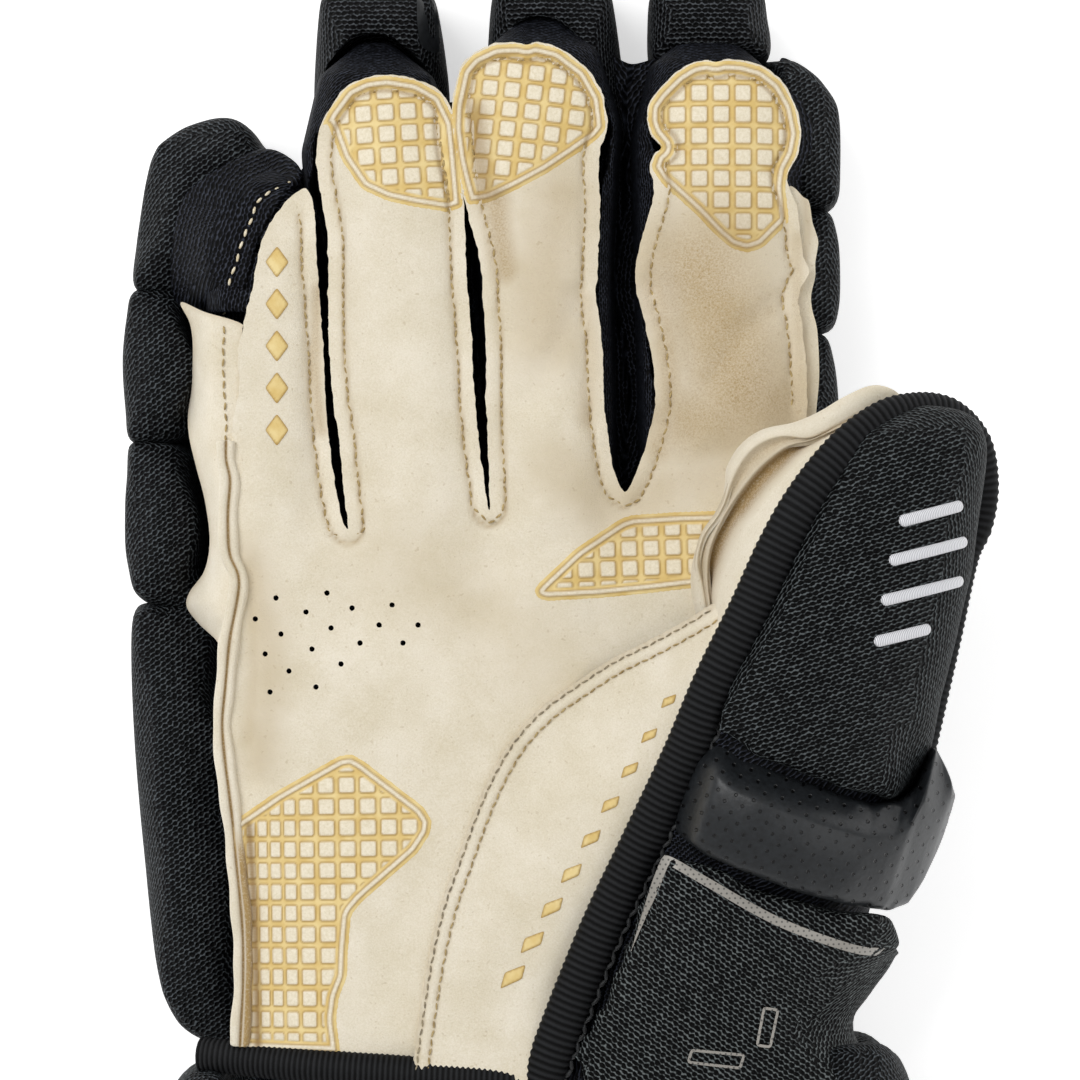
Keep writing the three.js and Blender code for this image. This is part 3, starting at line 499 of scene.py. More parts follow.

# The grip print is a golden gel pressed into the suede: a plain rim, a raised cream welt inside it and
# then rounded squares that stand up out of the gold. A fine brown line where the press bit in is also
# painted shade at the foot of the squares and the welt.
GRIP_CELL = 0.3  # fine enough for the tiles' round corners
GRIP_LIFT = 0.14
TILE_RISE = 0.42
TILE_ROUND = 0.55
WELT_FROM, WELT_TO, TILES_FROM = 1.1, 2.25, 3.0
RING_EDGE, MIDDLE_EDGE, INDEX_EDGE = RING[9:19], MIDDLE[7:21], INDEX[11:30]
GRIPS = [
    {"name": "ring", "turn": 4, "pitch": (4.95, 4.8), "tile": 3.5, "centre": (387, 134),
     "line": [(327, 124), *RING_EDGE, (464, 208), (447, 213), (415, 208), (387, 202), (361, 190),
              (341, 161)]},
    {"name": "middle", "turn": -7, "pitch": (4.95, 4.35), "tile": 3.35, "centre": (532, 112),
     "line": [(467, 206), *MIDDLE_EDGE, (598, 140), (575, 156), (548, 174), (518, 190), (490, 203)]},
    {"name": "index", "turn": 0, "pitch": (4.85, 4.75), "tile": 3.5, "centre": (721, 93),
     "line": [(661, 184), *INDEX_EDGE, (786, 187), (790, 222), (763, 249), (747, 254), (730, 249),
              (715, 236), (696, 216)]},
    {"name": "web", "turn": 2, "pitch": (4.85, 4.3), "tile": 3.35, "centre": (651, 548),
     "line": [(533, 590), (538, 583), (575, 548), (620, 518), (632, 514), (680, 511), (722, 510),
              (716, 560), (700, 588), (650, 594), (600, 599), (545, 602), (536, 598)]},
    {"name": "heel", "turn": 1, "pitch": (4.6, 4.7), "tile": 3.4, "centre": (327, 849), "squeeze": 0.058,
     "line": [(236, 1052), (240, 980), (238, 921), (232, 860), (228, 824), (277, 790), (339, 755),
              (352, 753), (364, 760), (424, 806), (433, 820), (431, 834), (418, 854), (364, 901),
              (352, 915), (349, 950), (348, 977), (340, 997), (337, 1019), (342, 1056)]},
]
# The gold is smoother than the napped cream that stands out of it.
grip_print, tree, shader, place = new_material("golden gel print on suede", {"Sheen Weight": 0.1})
cloud = add(tree, "TexNoise", {"Vector": place, "Scale": 240, "Detail": 3})
nap = add(tree, "TexNoise", {"Vector": place, "Scale": 1500, "Detail": 4, "Roughness": 0.7})
gold = add(tree, "ValToRGB", {0: cloud}, [(0.35, "DDBE74"), (0.68, "EDD698")])
cream = add(tree, "ValToRGB", {0: nap}, [(0.3, "DFD3B6"), (0.65, "F3E9D3")])
on_tile, edge_and_shade, shade_mask = (
    add(tree, "Attribute", attribute_name=name).outputs["Fac"] for name in ("raised", "line", "stain"))
base = add(tree, "Mix", {0: on_tile, 6: gold, 7: cream}, data_type="RGBA")
# The brown A57F36 line is partly the print's own edge and partly painted shade at the foot of the raised
# parts; the brown 8A6A38 is painted shade in the seam trench and the palm's folds.
lined = add(tree, "Mix", {0: edge_and_shade, 6: base.outputs[2], 7: hexes("A57F36")}, data_type="RGBA")
shaded_print = add(tree, "Mix", {0: shade_mask, 6: lined.outputs[2], 7: hexes("8A6A38")}, data_type="RGBA")
plug(tree, shader, {"Roughness": add(tree, "Mix", {0: on_tile, 2: 0.62, 3: 0.93})})
clad(tree, shader, shaded_print.outputs[2], nap, 0.4, 0.35)


def corner_flow(pixels, step):
    # Like flow(), but straight from point to point, for outlines with corners.
    p = np.vstack([pixels, pixels[:1]])
    length = np.concatenate([[0], np.cumsum(np.linalg.norm(np.diff(p, axis=0), axis=1))])
    at = np.linspace(0, length[-1], round(length[-1] / step) + 1)[:-1]
    return np.column_stack([np.interp(at, length, column) for column in p.T])


def eased(line, rounds):
    for _ in range(rounds):
        line = (np.roll(line, 1, 0) + 2 * line + np.roll(line, -1, 0)) / 4
    return line


for row in GRIPS:
    outline = eased(corner_flow(on(palm_base, row["line"])[:, :2], 0.4), 6)
    grip, flat = cut_sheet("grip_" + row["name"], outline, GRIP_CELL)
    inset = nearest(outline)(flat)[0]
    height, trench = palm_shape(flat)
    turn = math.radians(row["turn"])
    off = flat[:, :2] - on(palm_base, [row["centre"]])[0, :2]
    across = off[:, 0] * math.cos(turn) + off[:, 1] * math.sin(turn)
    up = off[:, 1] * math.cos(turn) - off[:, 0] * math.sin(turn)
    near_seam = np.maximum(-2.4 - across, 0)
    across -= row.get("squeeze", 0) * near_seam ** 2 / 2
    cell = np.column_stack([across, up]) / row["pitch"] + 0.5
    local = np.abs(cell - np.floor(cell) - 0.5) * row["pitch"]
    beyond = np.maximum(local - (row["tile"] / 2 - TILE_ROUND), 0)
    rim = np.linalg.norm(beyond, axis=1) - TILE_ROUND
    inside = step_between(TILES_FROM - 0.2, TILES_FROM + 0.2, inset)
    tile = (1 - step_between(-0.2, 0.2, rim)) * inside
    welt = step_between(WELT_FROM - 0.15, WELT_FROM + 0.15, inset)
    welt *= 1 - step_between(WELT_TO - 0.15, WELT_TO + 0.15, inset)
    raised = np.maximum(tile, welt)
    line = 0.75 * np.exp(-(((rim - 0.12) / 0.2) ** 2)) * inside
    for place in (WELT_FROM, WELT_TO):
        line = np.maximum(line, 0.7 * np.exp(-(((inset - place) / 0.2) ** 2)))
    height += GRIP_LIFT + TILE_RISE * raised - 0.4 * (1 - step_between(0, 0.4, inset))
    lay(grip, flat, height, 0, grip_print, "grip", raised=raised, line=line,
        stain=np.maximum(0.5 * trench, np.max(stains(flat), axis=0)))

# Small plain marks of the same print: five lozenges down the little finger, pressed into the suede
# with no rim.
LOZENGES = [(277, 262 + 42 * k) for k in range(5)]
LOZENGE_WIDE, LOZENGE_TALL = 2.6, 3.6
MARK_CELL = 0.45


def printed(name, outlines, height):
    # Thin flat marks of the golden print, laid on a surface and joined.
    made = []
    for outline in outlines:
        mark, flat = cut_sheet(name, outline, MARK_CELL)
        inset = nearest(outline)(flat)[0]
        flat[:, 2] = height(flat) + 0.22 * step_between(-0.1, 0.3, inset)
        move_points(mark, flat)
        # Each mark's edge gets the grips' brown line, partly print edge and partly painted shade at its
        # foot.
        attribute(mark, "line", 0.8 * (1 - step_between(0.1, 0.5, inset)))
        made.append(mark)
    only(*made)
    bpy.ops.object.join()
    mark.name = mark.data.name = name
    for empty in ("raised", "stain"):
        attribute(mark, empty, np.zeros(len(mark.data.vertices)))
    finish(mark, grip_print, "grip")


corners = np.array([(1, 0), (0, 1), (-1, 0), (0, -1)]) * (LOZENGE_WIDE, LOZENGE_TALL)
lozenge = eased(corner_flow(corners, 0.3), 3)
printed("finger_lozenges", [lozenge + at[:2] for at in on(palm_base, LOZENGES)],
        lambda flat: palm_shape(flat)[0] + 0.05)

# Lockstitches in waxed thread, tan on the suede: each is about 2 mm long and lies a little askew, which
# gives the seam its rope-like look.
def stitches(name, line, material, long=1.75, gap=0.35, thick=0.3, askew=14):
    bpy.ops.object.select_all(action="DESELECT")
    bpy.ops.mesh.primitive_uv_sphere_add(segments=6, ring_count=4, radius=1)
    bead = bpy.context.object
    shape = points_of(bead) * MM * (thick, thick, long / 2)
    faces = [tuple(face.vertices) for face in bead.data.polygons]
    bpy.data.objects.remove(bead)
    path = flow(line, long + gap)
    ahead = np.gradient(path, axis=0)
    ahead /= np.linalg.norm(ahead, axis=1)[:, None]
    points, every = [], []
    for k, (place, way) in enumerate(zip(path, ahead)):
        lean = math.radians(askew * (1 if k % 2 else -1))
        side = np.cross((0, 0, 1), way)
        side /= np.linalg.norm(side)
        turned = way * math.cos(lean) + side * math.sin(lean)
        side = np.cross((0, 0, 1), turned)
        side /= np.linalg.norm(side)
        up = np.cross(turned, side)
        every += [tuple(v + len(points) * len(shape) for v in face) for face in faces]
        points.append(place + shape[:, :1] * side + shape[:, 1:2] * up + shape[:, 2:] * turned)
    finish(solid(name, np.vstack(points), every), material, "thread")


def thread_material(name, light, dark):
    material, tree, shader, place = new_material(name, {"Roughness": 0.6, "Sheen Weight": 0.2})
    twist = add(tree, "TexNoise", {"Vector": place, "Scale": 900, "Detail": 2})
    colour = add(tree, "ValToRGB", {0: twist}, [(0.3, dark), (0.7, light)])
    clad(tree, shader, colour, twist, 0.15, 0.5)
    return material


tan_thread = thread_material("waxed tan thread", "BFA873", "8C7340")
smooth_out = eased(outward, 4)
smooth_out /= np.linalg.norm(smooth_out, axis=1)[:, None]
inner = (edge_line - smooth_out * FLANGE)[first:last]
inner = inner[to_edge(inner)[0] > FLANGE - 0.25]
inner = eased(np.column_stack([inner, np.zeros(len(inner))]), 1)[2:-2, :2]
seam_line = np.column_stack([inner, palm_shape(inner)[0] + 0.28])
stitches("finger_stitches", seam_line[::4], tan_thread)

# The pinched seam down the left of the palm: the raw edges of the palm and of the side strip stand up
# side by side, glued and sewn through, in a low wavy ridge.
RIDGE = [(241, 1046), (244, 980), (243, 921), (237, 860), (232, 808), (226, 760), (223, 724), (226, 690),
    (231, 638), (240, 583), (231, 555), (229, 530), (229, 509), (231, 480), (227, 460), (227, 440)]
FLAT_SEAM = [(225, 450), (226, 425), (224, 390), (223, 358), (224, 330)]
RIDGE_SECTION = [(-2.3, -2.4), (-2.5, 1.0), (-2.1, 1.9), (-1.0, 2.0), (-0.5, 1.5), (-0.35, 0.5),
    (0.05, 0.5), (0.25, 1.3), (0.7, 1.9), (1.5, 1.7), (2.0, 0.9), (2.0, -2.4)]
RIDGE_STEP = 0.7


def sweep(name, line, section, widths):
    # A closed section carried along a line, level across it; widths makes it wider or narrower.
    ahead = np.gradient(line, axis=0)
    ahead /= np.linalg.norm(ahead, axis=1)[:, None]
    side = np.cross(ahead, (0, 0, 1))
    side /= np.linalg.norm(side, axis=1)[:, None]
    up = np.cross(side, ahead)
    shape = np.array(section)
    rings = [place + (shape[:, :1] * s + shape[:, 1:] * u) * w
             for place, s, u, w in zip(line, side, up, widths)]
    count = len(shape)
    faces = [(start + k, start + (k + 1) % count, start + count + (k + 1) % count, start + count + k)
             for start in range(0, (len(line) - 1) * count, count) for k in range(count)]
    faces += [tuple(range(count)), tuple((len(line) - 1) * count + k for k in range(count))]
    return edited(solid(name, np.vstack(rings), faces), bpy.ops.mesh.normals_make_consistent, inside=False)


ridge_line = flow(on(palm_base, RIDGE), RIDGE_STEP)
lengths = np.arange(len(ridge_line)) * RIDGE_STEP
ridge_line[:, 2] += 0.3 * np.sin(lengths / 4.1)
widths = 1 + 0.12 * np.sin(lengths / 6.3) * np.sin(lengths / 2.7)
ridge = sweep("side_seam", ridge_line, RIDGE_SECTION, widths)
ridge_points = points_of(ridge)
off_middle, index = nearest(ridge_line)(ridge_points)
right = ridge_points[:, 0] > ridge_line[index, 0] + 0.4
low_part = 1 - step_between(-24, -14, ridge_points[:, 1])
# Painted shade: brown in the ridge's groove, and on its right side towards the heel, in the gap where the
# flange opens.
groove_shade = 0.95 * (off_middle < 0.42) * (ridge_points[:, 2] < ridge_line[index, 2] + 1.0)
attribute(ridge, "stain", np.maximum(groove_shade, right * low_part * 1.1))
apply(ridge, "SUBSURF", levels=1, render_levels=1)
finish(ridge, palm_suede, "suede")

# The knitted sleeves of the fingers show in the gaps and round the tips as a fine ribbed net, whose
# rows run along the leather's edge.
def soft_copy(name, node, voxel, rounds):
    # A CAD soft part, or several together, as one smooth skin of small even faces.
    pieces = [linked(name, nodes[one].data.copy()) for one in node.split()]
    piece = only(*pieces)
    if len(pieces) > 1:
        bpy.ops.object.join()
    piece.name = piece.data.name = name
    edited(piece, bpy.ops.mesh.remove_doubles, threshold=0.01 * MM)
    piece.data.materials.clear()
    apply(piece, "REMESH", mode="VOXEL", voxel_size=voxel * MM)
    apply(piece, "SMOOTH", factor=0.5, iterations=rounds)
    return piece


def lattice(tree, place, pitch, rows=1.0):
    # Three waves a third of a turn apart, whose sum peaks on a honeycomb of points, or mostly in rows.
    number = 4 * math.pi / (math.sqrt(3) * pitch)
    total = None
    for degrees, share in ((90, rows), (210, 1), (330, 1)):
        way = (math.cos(math.radians(degrees)) * number, math.sin(math.radians(degrees)) * number, 0)
        phase = add(tree, "VectorMath", {0: place, 1: way}, operation="DOT_PRODUCT").outputs["Value"]
        wave = add(tree, "Math", {0: phase}, operation="COSINE")
        total = add(tree, "Math", {0: wave, 1: share, 2: total or 0.0}, operation="MULTIPLY_ADD")
    return add(tree, "MapRange", {0: total, 1: -0.5 - rows, 2: 2.0 + rows})


def net_fabric(name, place_of, pitch, stretch, turn, thread, dim_glint, depth):
    # Knitted net: rows of dark holes, and between them wavy threads whose loops are painted light grey as a
    # highlight on the black yarn.
    material, tree, shader, place = new_material(name, {"Roughness": 0.6, "Specular IOR Level": 0.08})
    spread = add(tree, "TexNoise", {"Vector": place, "Scale": 800, "Detail": 2})
    turned = add(tree, "Mapping", {0: place_of(tree), 2: (0, 0, math.radians(turn))})
    wander = add(tree, "TexNoise", {"Vector": turned, "Scale": 0.7, "Detail": 1}).outputs["Color"]
    moved = add(tree, "VectorMath", {0: wander, 1: (0.8, 0.8, 0), 2: turned}, operation="MULTIPLY_ADD")
    drawn = add(tree, "VectorMath", {0: moved, 1: (*stretch, 1)}, operation="MULTIPLY")
    holes = lattice(tree, drawn, pitch, 1.5)
    shifted = add(tree, "Mix", {0: 0.3, 2: holes, 3: spread})
    # thread and the dim glint are painted highlight greys on the loops; the yarn itself is near black.
    shades = [(0.16, thread), (0.28, dim_glint), (0.4, "050506"), (1.0, "010101")]
    sunk = add(tree, "Math", {0: 1.0, 1: holes}, operation="SUBTRACT")
    clad(tree, shader, add(tree, "ValToRGB", {0: shifted}, shades), sunk, depth, 0.9)
    return material


def by_rows(tree):
    rows = add(tree, "Attribute", attribute_name="rows").outputs["Fac"]
    along = add(tree, "Attribute", attribute_name="along").outputs["Fac"]
    return add(tree, "CombineXYZ", {0: along, 1: rows})


def by_cloth(tree):
    return add(tree, "UVMap", uv_map="cloth")


fine_knit = net_fabric("fine ribbed knit", by_rows, 1.1, (0.8, 1.0), 0, "383C46", "101117", 0.25)
SLEEVE_TOP = 56  # the rows run down the sides below this height


def rowed(piece):
    # The knit's rows run along the palm's edge, and go on down the sides.
    points = points_of(piece)
    away, index = to_edge(points)
    attribute(piece, "rows", away + np.maximum(0, SLEEVE_TOP - points[:, 2]))
    attribute(piece, "along", index * EDGE_STEP)


# How far the left and the right side of a sleeve are drawn across, from place to place up the finger.
SLEEVE_SIDES = {
    "pinky": [(0, 4.2, 0)],
    "ring": [(104, 0, 0), (125, -5.6, 0)],
    "middle": [(60, 0, 2.6), (112, 0, 2.6), (142, 0, 5.2)],
    "index": [(60, -2.6, 0), (140, -3.6, 0)],
}
for finger, drawn in SLEEVE_SIDES.items():
    sleeve = soft_copy(finger + "_knit", finger + "_sleeve", 1.0, 5)
    shape = points_of(sleeve)
    up, left, right = np.array(drawn, float).T
    share = (shape[:, 0] - shape[:, 0].min()) / np.ptp(shape[:, 0])
    along = shape[:, 1]
    shape[:, 0] += np.interp(along, up, left) * (1 - share) + np.interp(along, up, right) * share
    move_points(sleeve, shape)
    rowed(sleeve)
    finish(sleeve, fine_knit, "knit", finger + "_sleeve")

# Low webs of the same knit close the slits between the fingers. They are sewn to the sleeves well
# under the leather.
WEB_LEVEL = 34
WEBS = [[(298, 180), (318, 172), (336, 200), (352, 300), (358, 420), (362, 530), (325, 530),
         (310, 420), (300, 300)],
        [(440, 112), (470, 108), (490, 150), (505, 300), (515, 515), (470, 515), (455, 350), (442, 200)],
        [(588, 70), (632, 64), (675, 70), (680, 200), (672, 400), (665, 500), (600, 500), (588, 300)]]
for number, corners in enumerate(WEBS):
    web, flat = cut_sheet(f"finger_web_{number + 1}", flow(spot(corners, WEB_LEVEL), 0.6, True), 1.2)
    away, index = to_edge(flat)
    lay(web, flat, WEB_LEVEL, LEATHER, fine_knit, "knit",
        rows=away + SLEEVE_TOP - WEB_LEVEL, along=index * EDGE_STEP)

# The lining is the knitted hand itself, drawn in on the little finger's side so that the side strip
# and the pads lie over it.
lining = soft_copy("hand_lining_knit", "hand_lining", 1.7, 4)
shape = points_of(lining)
shape[:, 0] = np.where(shape[:, 0] < -42, -42 + (shape[:, 0] + 42) * 0.45, shape[:, 0])
move_points(lining, shape)
rowed(lining)
finish(lining, fine_knit, "knit", "hand_lining")

# Leather strips beside the little finger and the index finger, where the knit would wear through. Each
# is sewn to the palm's edge, and its outer edge is tucked down between the pads.
SIDE_STRIP = [(179, 301), (188, 322), (191, 345), (190, 385), (186, 420), (194, 465), (203, 500),
    (208, 540), (203, 570), (188, 592), (185, 607), (197, 624), (214, 640), (232, 662), (240, 640),
    (246, 585), (238, 540), (236, 500), (236, 450), (240, 400), (242, 335), (240, 323), (205, 312)]
strip_base = relief([nodes["side_gusset"], nodes["palm_leather"]], 4)


def tucked(points):
    return 7 * (1 - step_between(-3, 6, outer_edge(points)[0]))


strip_edge = plan(strip_base, SIDE_STRIP, 0.5, True)
outer_edge = nearest(plan(strip_base, SIDE_STRIP[:13], 0.5))
strip, flat = cut_sheet("side_strip", strip_edge, 0.8)
# Painted shade: a brown tint along the strip's edges, where it meets the ridge and tucks between the pads.
lay(strip, flat, strip_base(flat) - 0.3 - tucked(flat), LEATHER, palm_suede, "suede", "side_gusset",
    stain=0.3 * (1 - step_between(0, 1.2, nearest(strip_edge)(flat)[0])))
flat_seam = on(strip_base, FLAT_SEAM)
flat_seam[:, 2] += 0.2 - tucked(flat_seam)
stitches("flat_seam_stitches", flat_seam, tan_thread, 1.9, 0.5, 0.3, 8)
INDEX_STRIP = [(786, 192), (805, 197), (810, 202), (813, 221), (816, 230), (819, 240), (818, 250),
    (816, 262), (816, 276), (812, 294), (813, 309), (818, 330), (820, 370), (818, 400), (812, 440),
    (790, 430), (782, 300)]
strip, flat = cut_sheet("index_strip", plan(palm_base, INDEX_STRIP, 0.5, True), 0.8)
beyond = np.maximum(0, flat[:, 0] - 72.5)
fold = 0.7 * np.sin(flat[:, 1] / 4.3) * np.exp(-((beyond - 2) ** 2) / 3)
# Painted shadow: a wavy brown band along the fold where the strip turns down past the palm's edge.
lay(strip, flat, palm_base(flat) - 1.7 + fold - 0.3 * beyond, LEATHER, palm_suede, "suede", "index_gusset",
    stain=0.35 * np.exp(-((beyond - 1.5 + np.sin(flat[:, 1] / 5)) ** 2)))

# The leather of the thumb's root laps over the palm in a double-stitched seam and rises to the ridge of
# the thumb.
THENAR_SEAM = [(411, 1076), (420, 1010), (429, 955), (441, 905), (456, 862), (474, 812), (493, 770),
    (515, 735), (543, 706), (575, 683), (612, 659), (650, 640), (690, 618), (712, 604)]
THUMB_RIDGE = [(748, 600, 88), (715, 683, 84), (682, 758, 79), (641, 843, 73), (605, 917, 68),
    (575, 986, 64), (550, 1080, 57)]
thenar_base = relief([nodes["thenar_leather"]], 4)


def thenar_height(points):
    return np.maximum(thenar_base(points), palm_shape(points)[0] + 1.2)


thenar_left = plan(thenar_base, THENAR_SEAM, EDGE_STEP)
thenar_right = flow(spot([row[:2] for row in THUMB_RIDGE], [row[2] for row in THUMB_RIDGE]), 0.6)
thenar, flat = cut_sheet("thenar_suede", np.vstack([thenar_left, thenar_right]), 0.85)
away = nearest(thenar_left)(flat)[0]
SEAM_ROWS = (0.9, 3.5)
rows = sum(np.exp(-(((away - row) / 0.4) ** 2)) for row in SEAM_ROWS)
raw = 1 - step_between(0, 0.5, away)
height = thenar_height(flat) + 0.35 * np.exp(-(((away - 2.2) / 0.9) ** 2)) - 0.35 * rows - raw
# Painted shade: brown in the two stitch grooves and on the raw edge.
lay(thenar, flat, height, LEATHER, palm_suede, "suede", "thenar_leather", stain=0.35 * rows + 0.3 * raw)
way = np.gradient(thenar_left, axis=0)
inward = np.column_stack([way[:, 1], -way[:, 0]]) / np.linalg.norm(way, axis=1)[:, None]
grey_thread = thread_material("waxed grey thread", "A89A7C", "6F6450")
for k, row in enumerate(SEAM_ROWS):
    line = thenar_left + inward * row
    line = np.column_stack([line, thenar_height(line) + 0.1])[4:-4:4]
    stitches(f"thenar_stitches_{k + 1}", line, (grey_thread, tan_thread)[k], 1.7, 0.3, 0.24, 10)

# A row of plain slanted golden dashes on the thenar, beside the tape. They are of the same print as
# the lozenges, and grow towards the heel.
DASHES = 9
DASH_FROM, DASH_TO = np.array([512, 978]), np.array([668, 702])
dash = np.array([(-2.6, -2.4), (2.2, -0.2), (3.0, 3.0), (-1.6, 1.2)])
dash = eased(corner_flow(dash, 0.3), 3)
dash_places = [DASH_FROM + (DASH_TO - DASH_FROM) * k / (DASHES - 1) for k in range(DASHES)]
dashes = [dash * (1 - 0.05 * k) + at[:2] for k, at in enumerate(on(thenar_base, dash_places))]
printed("thenar_dashes", dashes, lambda flat: thenar_height(flat) + 0.05)

# The thumb's front is one piece of the same leather. Towards the index finger it folds into a gusset:
# an outer lip, a second lip inside it and a deep fold between them and the front, painted golden-brown as
# shade.
GUSSET_EDGE = [(706, 652, 62), (698, 625, 62.5), (692, 600, 63), (690, 577, 64), (694, 553, 65),
    (701, 536, 66.5), (719, 510, 69), (724, 485, 71), (726, 467, 72), (740, 444, 74), (762, 429, 75.5),
    (793, 422, 77), (819, 411, 77.5), (844, 396, 77.5), (870, 385, 76), (890, 388, 74), (905, 400, 72)]
GUSSET_RIM = [(713, 646, 64), (707, 610, 65), (703, 584, 66.5), (698, 562, 68), (704, 536, 70),
    (717, 518, 72), (725, 503, 73.5), (732, 482, 75.5), (742, 462, 77), (755, 447, 78.3), (773, 438, 79.3),
    (788, 436, 79.8), (810, 438, 80), (835, 426, 79.5), (862, 412, 78), (884, 406, 75), (903, 404, 72)]
SECOND_LIP = [(715, 645, 64.5), (711, 612, 65.5), (708, 585, 67), (708, 562, 68.5), (713, 540, 70.5),
    (726, 513, 73), (739, 493, 75.5), (753, 475, 77), (768, 460, 78.3), (788, 446, 79.5), (812, 440, 80.2),
    (838, 428, 79.8), (864, 414, 78), (886, 407, 75), (903, 405, 72)]
FRONT_EDGE = [(717, 644, 65), (714, 615, 66), (713, 590, 68), (721, 562, 71), (736, 529, 75),
    (751, 511, 77.5), (769, 486, 80), (786, 468, 81), (804, 450, 81), (819, 441, 81), (842, 429, 80),
    (866, 415, 78), (887, 408, 75), (903, 406, 72)]
FRONT_TAPE = [(712, 655, 84.5), (727, 634, 85.5), (752, 577, 87.5), (774, 536, 88.5), (802, 490, 89),
    (816, 475, 88.5), (829, 460, 86.5), (842, 440, 84), (854, 428, 81), (868, 418, 79), (886, 410, 76),
    (905, 405, 72.5)]
FRONT_STEPS = 110


def placed(rows, count):
    # A line of pixels with their heights, as so many even points.
    table = np.array(rows, float)
    line = flow(np.column_stack([spot(table[:, :2], table[:, 2]), table[:, 2]]), 0.5)
    share = np.linspace(0, len(line) - 1, count)
    return np.column_stack([np.interp(share, np.arange(len(line)), column) for column in line.T])


edge, rim, lip, front, under = (
    placed(rows, FRONT_STEPS) for rows in (GUSSET_EDGE, GUSSET_RIM, SECOND_LIP, FRONT_EDGE, FRONT_TAPE))
open_share = np.clip(np.linalg.norm(front - lip, axis=1) / 1.6, 0, 1)[:, None] ** 2
down = np.array([0, 0, -1.0])
sunk = down * open_share
# Each row: its points, and how much painted shade it gets, most in the deep fold.
rows = [
    (np.column_stack([edge[:, :2] + (3.5, -1.5), np.full(FRONT_STEPS, 50)]), 0.1),
    (edge + (0.9, -0.3, -6), 0.1), (edge + (-0.1, 0, -1.2), 0.0), (edge + (0.6, 0, 0.2), 0.1),
    (edge * 0.5 + rim * 0.5 - down * 0.5, 0.0), (rim + (-0.4, 0, 0.3), 0.1), (rim + (0.1, 0, -0.1), 0.35),
    (rim * 0.6 + lip * 0.4 + sunk * 2.4, 0.5), (lip + (-0.35, 0, -0.1), 0.3), (lip + (0.2, 0, 0), 0.35),
    (lip * 0.8 + front * 0.2 + sunk * 4.6, 1.0), (lip * 0.3 + front * 0.7 + sunk * 4.0, 0.8),
    (front + (-0.1, 0, -0.2), 0.3), (front * 0.8 + under * 0.2 - down * 0.6, 0.0),
    (front * 0.4 + under * 0.6 - down * 0.8, 0.0), (under + down * 0.6, 0.0), (under + (1.2, -1, -3), 0.0),
]
columns = len(rows)
points = np.stack([row[0] for row in rows], axis=1).reshape(-1, 3)
faces = [(r * columns + k, (r + 1) * columns + k, (r + 1) * columns + k + 1, r * columns + k + 1)
         for r in range(FRONT_STEPS - 1) for k in range(columns - 1)]
thumb_front = solid("thumb_front", points, faces)
attribute(thumb_front, "stain", np.tile([1.1 * row[1] for row in rows], FRONT_STEPS))
edited(thumb_front, bpy.ops.mesh.normals_make_consistent, inside=False)
if sum(face.normal.z for face in thumb_front.data.polygons) < 0:
    thumb_front.data.flip_normals()
apply(thumb_front, "SUBSURF", levels=1, render_levels=1)
apply(thumb_front, "SOLIDIFY", thickness=1.1 * MM, offset=-1)
finish(thumb_front, palm_suede, "suede", "thumb_sleeve")

# Ribbed polyester tape binds the edge where the leather meets the padding: up the thumb, round its tip
# and down the far side, across the heel of the palm, and round the open end of the cuff.
TAPE_SIDES = 16
THUMB_TAPE = [(14.5, -76, 57.5), (18.2, -64, 60.5), (23.6, -49.5, 63.5), (29.9, -34.1, 67.1),
    (37.6, -17.6, 72), (46.2, 1.1, 78), (53, 17.6, 83), (60.4, 33, 86.2), (66.2, 45.8, 88),
    (71.6, 55.6, 88.6), (78.4, 64.6, 86.8), (85.2, 71, 83.9), (93.2, 75.2, 78.5), (103.2, 75.4, 70),
    (109.9, 69.8, 62.8), (112, 61, 58.5), (111, 52.4, 56.4), (107.9, 44.8, 55.4), (104.3, 26.9, 52.2),
    (99.7, 4.7, 47.3), (96.6, -10.1, 43.8)]
HEEL_TAPE = [(-60, -66.2, 47.5), (-52.2, -66.6, 50.9), (-34, -68, 56.4), (-14.5, -69.3, 58.1),
    (5, -70.6, 58.3), (14.5, -71.5, 57)]
RIM_TAPE = [(-57, -177.6, 57.5), (-66.3, -177.6, 51.6), (-70.3, -177.6, 41.9), (-69.2, -177.6, 23),
    (-62.8, -177.6, 15.5), (-51, -177.6, 10.6), (-32.7, -177.6, 7.7), (-0.9, -177.6, 6.5),
    (52.8, -177.6, 7.1), (73.9, -177.6, 9.5), (87.6, -177.6, 13.7), (95.7, -177.6, 20.1),
    (98.5, -177.6, 32.6), (96.2, -177.6, 49.1), (88.6, -177.6, 55.8)]
ribbed_tape, tree, shader, place = new_material(
    "ribbed polyester tape", {"Roughness": 0.65, "Specular IOR Level": 0.15})
# Painted light on the ribs: crests lighter grey, troughs near black.
crest = add(tree, "Attribute", attribute_name="crest").outputs["Fac"]
fibre = add(tree, "TexNoise", {"Vector": place, "Scale": 1400, "Detail": 3})
mixed = add(tree, "Mix", {0: 0.25, 2: crest, 3: fibre})
clad(tree, shader, add(tree, "ValToRGB", {0: mixed}, [(0.25, "020203"), (0.9, "242527")]), fibre, 0.2, 0.4)


def ribbed(name, path, step, sides, wide, tall, pitch, deep, widths=1.0):
    # A rounded strip with ribs across it.
    crests = 0.5 + 0.5 * np.cos(2 * math.pi * np.arange(len(path)) * step / pitch)
    strip = sweep(name, path, oval(sides, wide, tall), widths * (1 - deep + deep * crests))
    attribute(strip, "crest", np.repeat(crests, sides))
    return strip


